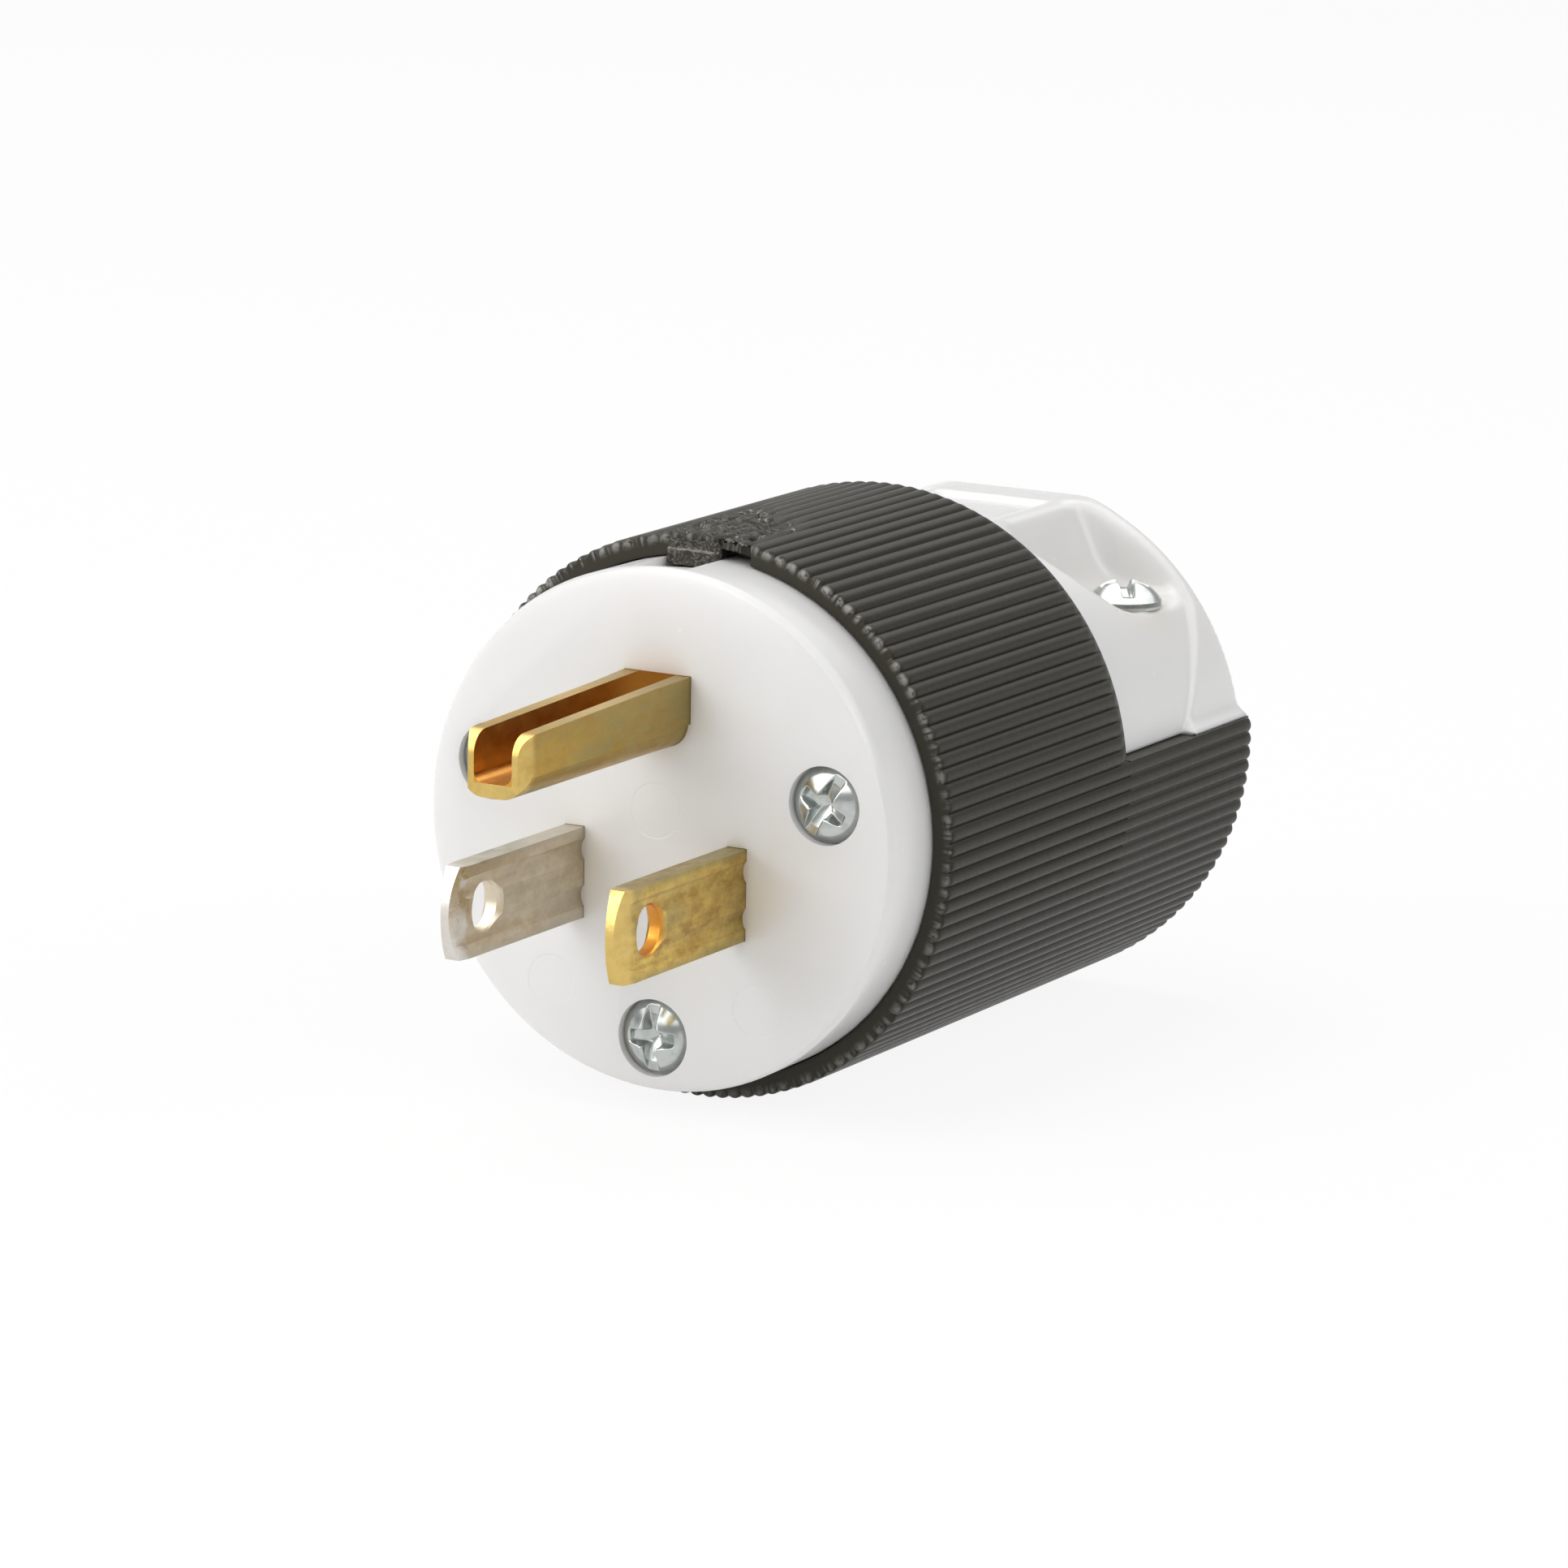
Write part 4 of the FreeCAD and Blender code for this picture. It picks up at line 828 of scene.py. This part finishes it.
def screw_points(screw, shank, span):
    """Points of one screw along +Z from its head's seat: a square grid drawn out to a disc, then rings.

    The disc is x = u * sqrt(1 - v^2 / 2), y = v * sqrt(1 - u^2 / 2). Its height is a dome less the slot
    and the cross, whose floor slopes up from the middle.
    """
    head, height, soft = screw.head, screw.height, 0.10 * MM
    side = np.linspace(-1.0, 1.0, 81)
    u, v = np.meshgrid(side, side, indexing="ij")
    x = u * np.sqrt(1.0 - v * v / 2.0) * head
    y = v * np.sqrt(1.0 - u * u / 2.0) * head
    away = np.hypot(x, y)
    crown = 0.7 * height
    dome = (head * head + crown * crown) / (2.0 * crown)
    top = height - dome + np.sqrt(dome * dome - np.minimum(away, head) ** 2)
    slot = 1.0 - smooth(np.abs(x), screw.slot_half - soft, screw.slot_half + soft)
    wing = screw.cross_half - 0.12 * away
    cross = 1.0 - smooth(np.minimum(np.abs(x), np.abs(y)), wing - soft, wing + soft)
    cross = cross * (1.0 - smooth(away, screw.cross_reach - 1.5 * soft, screw.cross_reach + 1.5 * soft))
    top = top - slot * np.maximum(top - height + screw.slot_depth, 0.0)
    top = top - cross * np.maximum(top - height + screw.cross_depth - 0.45 * away, 0.0)
    disc = np.stack([x, y, top], axis=-1)
    flat = round_the_edge(disc) * (1.0, 1.0, 0.0)
    neck = flat * (shank / head)
    rings = [flat + (0.0, 0.0, 0.12 * MM), flat * 0.98, neck, neck - (0.0, 0.0, span),
             neck * 0.5 - (0.0, 0.0, span + 0.7 * MM)]
    return disc, rings


def round_the_edge(grid):
    """Values on the edge of a square grid, in order round it."""
    return np.concatenate([grid[:-1, 0], grid[-1, :-1], grid[:0:-1, -1], grid[0, :0:-1]])


def screw_faces(disc, rings):
    """Faces of the disc's grid, of the rings below its rim, and of the closing end."""
    rows, columns = disc.shape[:2]
    around = len(rings[0])
    loops = [round_the_edge(np.arange(rows * columns).reshape(rows, columns))]
    loops += [rows * columns + ring * around + np.arange(around) for ring in range(len(rings))]
    bands = [np.stack([upper, lower, np.roll(lower, -1), np.roll(upper, -1)], axis=-1)
             for upper, lower in zip(loops[:-1], loops[1:])]
    return np.concatenate([grid_faces(rows, columns), *bands]), loops[-1]


def make_screws(name, node, material, axis, places, shank, span):
    """Join like screws into one piece. Each place is a head's seat and its slot's turn in degrees."""
    disc, rings = screw_points(bpy.context.scene.plug_screw, shank, span)
    sides, end = screw_faces(disc, rings)
    local = np.concatenate([disc.reshape(-1, 3), *rings])
    points, faces = [], []
    for index, (seat, turn) in enumerate(places):
        axes = turned_axes(axis, math.radians(turn))
        points.append(local @ np.array(axes).T + np.array(seat))
        faces.extend((sides + index * len(local)).tolist())
        faces.append((end + index * len(local)).tolist())
    return new_piece(name, np.concatenate(points), faces, material, "zinc_steel", node)


def turned_axes(axis, turn):
    """Columns that carry a screw's own X, Y and Z to the frame: its Z along axis, its slot turned."""
    upright = Vector((0.0, 0.0, 1.0)) if abs(axis.z) < 0.9 else Vector((0.0, 1.0, 0.0))
    along = upright.cross(axis).normalized()
    basis = Matrix((along, axis.cross(along), axis)).transposed()
    return basis @ Matrix.Rotation(turn, 3, "Z")


class PLUG_OT_screws(bpy.types.Operator):
    """Domed screws of the face and the cord clamp, with slot and cross"""
    bl_idname = "plug.screws"
    bl_label = "Screws"

    def execute(self, context):
        screw = context.scene.plug_screw
        zinc = plated("zinc_plate", tuple(finishes().zinc), 700.0)
        face = [((x, screw.face_seat, z), turn) for x, z, turn in (
            (screw.face_across, screw.face_high, -30.0), (-screw.face_across, screw.face_high, 20.0),
            (0.0, screw.face_low, 0.0))]
        make_screws("face_screw_heads", "face_screws", zinc, Vector((0.0, -1.0, 0.0)), face,
                    screw.face_shank, screw.face_span)
        seat = context.scene.plug_clamp.seat
        clamp = [((x, screw.clamp_along, seat), turn) for x, turn in (
            (screw.clamp_across, 35.0), (-screw.clamp_across, -10.0))]
        make_screws("clamp_screw_heads", "clamp_screws", zinc, Vector((0.0, 0.0, 1.0)), clamp,
                    screw.clamp_shank, screw.clamp_span)
        return {"FINISHED"}


# Cord clamp

def soft_larger(first, second, reach):
    """Larger of two distances, rounded over a reach where they come close: max + reach / 4 * closeness^2."""
    close = np.maximum(reach - np.abs(first - second), 0.0) / reach
    return np.maximum(first, second) + reach / 4.0 * close * close


def soft_smaller(first, second, reach):
    """Smaller of two distances, filled over a reach where they come close."""
    return -soft_larger(-first, -second, reach)


def clamp_distance(x, y, z, clamp):
    """How far a point lies outside the cord clamp, negative inside it.

    An arch and a larger rear skirt are cut flat on top and at the ends. Pockets are taken out over the
    screws' seats, the ridge is filled back in with a wide hollow round, and the cord's passage and the
    panel are cut last.
    """
    across = np.abs(x)
    arch = math.hypot(clamp.top_half, clamp.top + clamp.drop)
    away = np.hypot(x, z + clamp.drop)
    foot = np.clip(1.0 - (z - clamp.split) / clamp.foot_height, 0.0, 1.0)
    outside = away - arch - clamp.flare * foot * foot
    rise = clamp.seat - clamp.split
    run = clamp.skirt - clamp.flange
    slanted = (run * (z - clamp.split) - rise * (y - clamp.rear + clamp.skirt)) / math.hypot(rise, run)
    skirt_front = np.minimum(slanted, clamp.rear - clamp.flange - y)
    skirt = soft_larger(outside, skirt_front, clamp.skirt_edge)
    body = soft_smaller(away - arch + clamp.step, skirt, clamp.skirt_fill)
    body = soft_larger(body, z - clamp.top, clamp.ridge_edge)
    spot = clamp.rear - clamp.pocket_along
    pocket = np.hypot(across - clamp.pocket_across, np.minimum(y - spot, 0.0)) - clamp.pocket
    pocket = soft_larger(pocket, y - clamp.rear + clamp.flange, clamp.pocket_rear)
    pocket = soft_larger(pocket, clamp.seat - z, clamp.pocket_floor)
    body = soft_larger(body, -pocket, clamp.pocket_rim)
    lean = clamp.foot_half - clamp.top_half
    tall = clamp.top - clamp.seat
    ridge = (tall * (across - clamp.foot_half) + lean * (z - clamp.seat)) / math.hypot(tall, lean)
    ridge = soft_larger(ridge, z - clamp.top, clamp.ridge_edge)
    body = soft_smaller(body, ridge, clamp.ridge_fill)
    body = soft_larger(body, z - clamp.top, clamp.outer_edge)
    body = soft_larger(body, outside, clamp.outer_edge)
    body = soft_larger(body, np.maximum(clamp.front - y, y - clamp.rear), clamp.end_edge)
    body = soft_larger(body, clamp.split - z, clamp.foot_edge)
    body = soft_larger(body, clamp.cord - np.hypot(x, z), clamp.cord_edge)
    middle = (clamp.front + clamp.rear) / 2.0
    panel = np.maximum(across - clamp.panel_half, np.abs(y - middle) - clamp.panel_length / 2.0)
    panel = soft_larger(panel, clamp.top - clamp.panel_depth - z, clamp.panel_floor)
    return soft_larger(body, -panel, clamp.panel_rim)


def net_surface(field, low, grain):
    """Closed surface round the points of a box grid where a field is negative.

    Each cell that the surface crosses gets one point, the mean of the crossings on its edges. Each grid
    edge that it crosses gets one face, between the points of the four cells round that edge.
    """
    cells = tuple(size - 1 for size in field.shape)
    total = np.zeros(cells + (3,))
    count = np.zeros(cells)
    lines = (np.arange(size, dtype=float) for size in cells)
    corner = np.stack(np.meshgrid(*lines, indexing="ij"), axis=-1)
    for axis in range(3):
        others = [other for other in range(3) if other != axis]
        for first in (0, 1):
            for second in (0, 1):
                shift = np.zeros(3, dtype=int)
                shift[others[0]], shift[others[1]] = first, second
                start = field[tuple(slice(shift[i], shift[i] + cells[i]) for i in range(3))]
                shift[axis] = 1
                end = field[tuple(slice(shift[i], shift[i] + cells[i]) for i in range(3))]
                crossed = (start < 0) != (end < 0)
                share = np.where(crossed, start / np.where(crossed, start - end, 1.0), 0.0)
                place = corner + shift
                place[..., axis] = corner[..., axis] + share
                total += place * crossed[..., None]
                count += crossed
    used = count > 0
    index = np.full(cells, -1)
    index[used] = np.arange(used.sum())
    points = total[used] / count[used][:, None] * grain + low
    faces = []
    for axis in range(3):
        one, two = [(axis + 1) % 3, (axis + 2) % 3]
        inner = [slice(1, -1)] * 3
        inner[axis] = slice(0, -1)
        ahead = list(inner)
        ahead[axis] = slice(1, None)
        start, end = field[tuple(inner)] < 0, field[tuple(ahead)] < 0
        edges = np.argwhere(start != end) + np.array([0 if i == axis else 1 for i in range(3)])
        leaving = field[tuple(edges.T)] < 0
        back_one = np.eye(3, dtype=int)[one]
        back_two = np.eye(3, dtype=int)[two]
        ring = [edges - back_one - back_two, edges - back_two, edges, edges - back_one]
        quads = np.stack([index[tuple(cell.T)] for cell in ring], axis=-1)
        quads[~leaving] = quads[~leaving][:, ::-1]
        faces.append(quads)
    return points, np.concatenate(faces)


def clamp_surface(clamp):
    """Points and faces of the clamp, each point moved down its distance's slope onto the surface."""
    margin = 1.5 * clamp.grain
    low = np.array([CLAMP_LOW.x, clamp.front, clamp.split]) - margin
    high = np.array([CLAMP_HIGH.x, clamp.rear, clamp.top]) + margin
    lines = [np.arange(start, end + clamp.grain, clamp.grain) for start, end in zip(low, high)]
    points, faces = net_surface(clamp_distance(*np.meshgrid(*lines, indexing="ij"), clamp), low, clamp.grain)
    tiny, longest = 0.01 * MM, 0.2 * MM
    for _ in range(2):
        here = clamp_distance(*points.T, clamp)
        ahead = [clamp_distance(*(points + tiny * way).T, clamp) for way in np.eye(3)]
        slope = (np.stack(ahead, axis=-1) - here[:, None]) / tiny
        steep = np.maximum((slope * slope).sum(axis=1), 0.25)
        points = points - slope * np.clip(here / steep, -longest, longest)[:, None]
    return np.clip(points, np.array(CLAMP_LOW), np.array(CLAMP_HIGH)), faces


# White parts, prongs and insides

def lip_points(prong, face, side, middle):
    """Small rib of the white face in a blade's flute: a segment of a circle, carried back from the face."""
    gap, trim, bite, back = 0.01 * MM, 0.05 * MM, 0.03 * MM, 2.0 * MM
    radius, half = prong.flute_radius, prong.flute_half
    spread = np.linspace(trim - half, half - trim, 15)
    depth = np.sqrt(radius ** 2 - spread ** 2) - math.sqrt(radius ** 2 - half ** 2) - gap
    x = face + side * np.concatenate([-depth, [bite, bite]])
    z = middle + np.concatenate([spread, [spread[-1], spread[0]]])
    x, y = np.meshgrid(x, [gap, back], indexing="ij")
    return np.stack([x, y, np.repeat(z[:, None], 2, axis=1)], axis=-1)


def sink_flank(piece, key):
    """Lower the white flank before the key: cut its faces by planes, then sink them in a ramp to the key."""
    wall, tiny = 0.06 * MM, 0.02 * MM
    left, right, end = key.left - key.gap, key.right + key.gap, key.front - key.gap
    shape = bmesh.new()
    shape.from_mesh(piece.data)
    cuts = [((place, 0.0, 0.0), (1.0, 0.0, 0.0)) for place in (left, left + wall, right - wall, right)]
    cuts += [((0.0, place, 0.0), (0.0, 1.0, 0.0)) for place in np.linspace(key.ramp, end, 7)]
    for place, way in cuts:
        geometry = shape.verts[:] + shape.edges[:] + shape.faces[:]
        bmesh.ops.bisect_plane(shape, geom=geometry, dist=0.001 * MM, plane_co=place, plane_no=way)
    for vertex in shape.verts:
        x, y, z = vertex.co
        between = left + wall / 2 < x < right - wall / 2
        if between and key.ramp < y < end + tiny and z > key.low - 0.3 * MM:
            vertex.co.z = z - key.ramp_depth * (y - key.ramp) / (end - key.ramp)
    shape.to_mesh(piece.data)
    shape.free()


class PLUG_OT_white_parts(bpy.types.Operator):
    """White front body with eased edges, its ribs in the blades' flutes, and the softly rounded cord clamp"""
    bl_idname = "plug.white_parts"
    bl_label = "White parts"

    def execute(self, context):
        prong = context.scene.plug_prong
        nylon = white_nylon()
        face = eased_copy("front_face", "front_body", nylon, "white_nylon", bevel=0.08 * MM, angle=35.0)
        sink_flank(face, context.scene.plug_key)
        half_thick = BLADE_HIGH.x - BLADE_MIDDLE.x
        lips = []
        for blade in (-BLADE_MIDDLE.x, BLADE_MIDDLE.x):
            for side in (-1.0, 1.0):
                for flute in (-prong.flute_place, prong.flute_place):
                    lip = lip_points(prong, blade + side * half_thick, side, BLADE_MIDDLE.z + flute)
                    lips.append((lip, True, False))
        new_piece("flute_lips", *joined(lips), nylon, "white_nylon", "front_body", sharp=40)
        points, faces = clamp_surface(context.scene.plug_clamp)
        new_piece("clamp_arch", points, faces.tolist(), nylon, "white_nylon", "cord_clamp")
        return {"FINISHED"}


class PLUG_OT_prongs(bpy.types.Operator):
    """Blades and ground pin with eased edges and mottled metal"""
    bl_idname = "plug.prongs"
    bl_label = "Prongs"

    def execute(self, context):
        tones = finishes()
        prong = context.scene.plug_prong
        brass = prong_metal(
            "brass_blade", tones.brass, tones.tarnish, tones.patina, tones.bright_brass, tones.hollow_reflection)
        nickel = prong_metal(
            "nickel_blade", tones.nickel, tones.stain, tones.smoke, tones.bright_nickel, tones.nickel)
        corner = 28.0
        eased_copy("line_prong", "line_blade", brass, "brass", bevel=prong.blade_ease, angle=corner)
        eased_copy("neutral_prong", "neutral_blade", nickel, "nickel_plate",
                   bevel=prong.blade_ease, angle=corner)
        eased_copy("ground_prong", "ground_pin", pin_metal(), "brass", bevel=prong.pin_ease, angle=corner)
        return {"FINISHED"}


class PLUG_OT_insides(bpy.types.Operator):
    """Finishes of the solids inside the plug, which keep their own shapes"""
    bl_idname = "plug.insides"
    bl_label = "Insides"

    def execute(self, context):
        tones = finishes()
        brass = plated("inner_brass", tuple(tones.brass), 500.0)
        nickel = plated("inner_nickel", tuple(tones.nickel), 500.0)
        zinc = plated("inner_zinc", tuple(tones.zinc), 500.0)
        green = plated("green_dye", tuple(tones.green), 500.0)
        finish_of = {
            "terminal_retainer": bpy.data.materials["white_nylon"],
            "line_pressure_plate": brass, "line_terminal_screw": brass, "ground_pressure_plate": brass,
            "neutral_pressure_plate": nickel, "neutral_terminal_screw": nickel,
            "ground_terminal_screw": green, "clamp_nuts": zinc, "dust_seal": seal_rubber(),
        }
        for node, material in finish_of.items():
            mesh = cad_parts[node].data
            mesh.materials.clear()
            mesh.materials.append(material)
        return {"FINISHED"}


# Stage

# Name, place, side in metres and power in watts of each lamp
SOFTBOXES = (
    ("Top softbox", (-0.25, -0.10, 0.85), 0.9, 4.4),
    ("Front softbox", (-0.55, -0.85, 0.45), 0.7, 4.25),
    ("Side softbox", (0.9, 0.25, 0.55), 0.5, 1.9),
)


class PLUG_OT_stage(bpy.types.Operator):
    """Pale floor, soft light and the camera"""
    bl_idname = "plug.stage"
    bl_label = "Stage"

    def execute(self, context):
        stage = context.scene.plug_stage
        make_floor(stage)
        make_world(stage)
        for name, place, size, energy in SOFTBOXES:
            make_softbox(name, Vector(place), size, energy)
        make_camera(stage)
        context.scene.view_settings.view_transform = "Standard"
        return {"FINISHED"}


def seen_share(sheet):
    """Share that is 1 for what shows straight, mirrored or through a piece, and 0 for other light."""
    kinds = ("Is Camera Ray", "Is Glossy Ray", "Is Transmission Ray")
    straight, mirrored, through = (sheet.add("ShaderNodeLightPath", output=kind) for kind in kinds)
    return straight.at_least(mirrored).at_least(through)


def make_floor(stage):
    """Wide flat grid under the shell. Most of its look is plain white, and the rest takes the shadow."""
    reach, lines = 3.0, 5
    side = np.linspace(-reach, reach, lines)
    x, y = np.meshgrid(side, side, indexing="ij")
    points = np.stack([x, y, np.full_like(x, SHELL_LOW.z)], axis=-1).reshape(-1, 3)
    mesh = bpy.data.meshes.new("floor")
    mesh.from_pydata(points.tolist(), [], grid_faces(lines, lines)[:, ::-1].tolist())
    floor = bpy.data.objects.new("floor", mesh)
    bpy.context.scene.collection.objects.link(floor)
    material, sheet, shader = finish("floor_paper", {})
    nodes = material.node_tree.nodes
    nodes.remove(shader)
    paper = sheet.add("ShaderNodeBsdfDiffuse", inputs={"Color": (*stage.floor, 1.0)})
    glow = sheet.add("ShaderNodeEmission", inputs={"Color": (1.0, 1.0, 1.0, 1.0), "Strength": 1.0})
    mixed = sheet.add("ShaderNodeMixShader", inputs={0: seen_share(sheet) * stage.glow, 1: paper, 2: glow})
    sheet.feed(nodes["Material Output"].inputs["Surface"], mixed)
    mesh.materials.append(material)


def make_world(stage):
    """White where the camera looks, a dark band and a bright panel in reflections, else an even light."""
    world = bpy.data.worlds.new("Studio")
    world.use_nodes = True
    sheet = NodeSheet(world.node_tree)
    # Height is the Z of the direction looked in: 0 at the horizon, 1 overhead
    facing = sheet.add("ShaderNodeTexCoord", output="Generated")
    height = sheet.add("ShaderNodeSeparateXYZ", inputs={0: facing}, output="Z")
    band = height.rise(0.08, 0.20) * height.fall(0.40, 0.52)
    panel = height.rise(0.44, 0.54)
    mirrored = 1.0 - stage.ambient - stage.band * band + stage.panel * panel
    background = world.node_tree.nodes["Background"]
    background.inputs["Color"].default_value = (1.0, 1.0, 1.0, 1.0)
    sheet.feed(background.inputs["Strength"], seen_share(sheet) * mirrored + stage.ambient)
    bpy.context.scene.world = world


def make_softbox(name, place, size, energy):
    """Square lamp that faces the plug."""
    lamp = bpy.data.lights.new(name, "AREA")
    lamp.shape = "SQUARE"
    lamp.size = size
    lamp.energy = energy
    item = bpy.data.objects.new(name, lamp)
    item.location = place
    plug_middle = Vector((0.0, 0.02, 0.0))
    aim = plug_middle - place
    item.rotation_mode = "QUATERNION"
    item.rotation_quaternion = aim.to_track_quat("-Z", "Y")
    bpy.context.scene.collection.objects.link(item)


def make_camera(stage):
    """Camera at the photograph's angle: back along azimuth and elevation, leaned by the roll."""
    back = Vector((math.sin(stage.azimuth) * math.cos(stage.elevation),
                   -math.cos(stage.azimuth) * math.cos(stage.elevation), math.sin(stage.elevation)))
    level = Vector((0.0, 0.0, 1.0)).cross(back).normalized()
    over = back.cross(level)
    right = level * math.cos(stage.roll) + over * math.sin(stage.roll)
    up = over * math.cos(stage.roll) - level * math.sin(stage.roll)
    data = bpy.data.cameras.new("Camera")
    data.lens = stage.lens
    data.clip_start = 0.01
    data.clip_end = 20.0
    camera = bpy.data.objects.new("Camera", data)
    camera.matrix_world = Matrix((right, up, back)).transposed().to_4x4()
    camera.location = right * stage.pan + up * stage.lift + back * stage.distance
    bpy.context.scene.collection.objects.link(camera)
    bpy.context.scene.camera = camera


# Sidebar and registration

STEPS = ("shell", "white_parts", "prongs", "screws", "insides", "stage")


class PLUG_PT_panel(bpy.types.Panel):
    """Sidebar list of the plug's steps and settings"""
    bl_idname = "PLUG_PT_panel"
    bl_label = "Plug"
    bl_space_type = "VIEW_3D"
    bl_region_type = "UI"
    bl_category = "Plug"

    def draw(self, context):
        for step in STEPS:
            self.layout.operator("plug." + step)
        for group in SETTINGS:
            box = self.layout.box()
            settings = getattr(context.scene, group)
            for name in settings.bl_rna.properties.keys():
                if name not in ("rna_type", "name"):
                    box.prop(settings, name)


SETTINGS = {
    "plug_shell": ShellSettings, "plug_key": KeySettings, "plug_clamp": ClampSettings,
    "plug_prong": ProngSettings, "plug_screw": ScrewSettings,
    "plug_finishes": FinishSettings, "plug_stage": StageSettings,
}
CLASSES = (*SETTINGS.values(), PLUG_OT_shell, PLUG_OT_white_parts, PLUG_OT_prongs, PLUG_OT_screws,
           PLUG_OT_insides, PLUG_OT_stage, PLUG_PT_panel)


def register():
    """Add the classes and the scene's settings."""
    for item in CLASSES:
        bpy.utils.register_class(item)
    for name, group in SETTINGS.items():
        setattr(bpy.types.Scene, name, bpy.props.PointerProperty(type=group))


def unregister():
    """Take the settings and the classes away again."""
    for name in SETTINGS:
        delattr(bpy.types.Scene, name)
    for item in reversed(CLASSES):
        bpy.utils.unregister_class(item)


def main():
    """Make every piece and the stage in order."""
    register()
    for step in STEPS:
        getattr(bpy.ops.plug, step)()


if __name__ == "__main__":
    main()
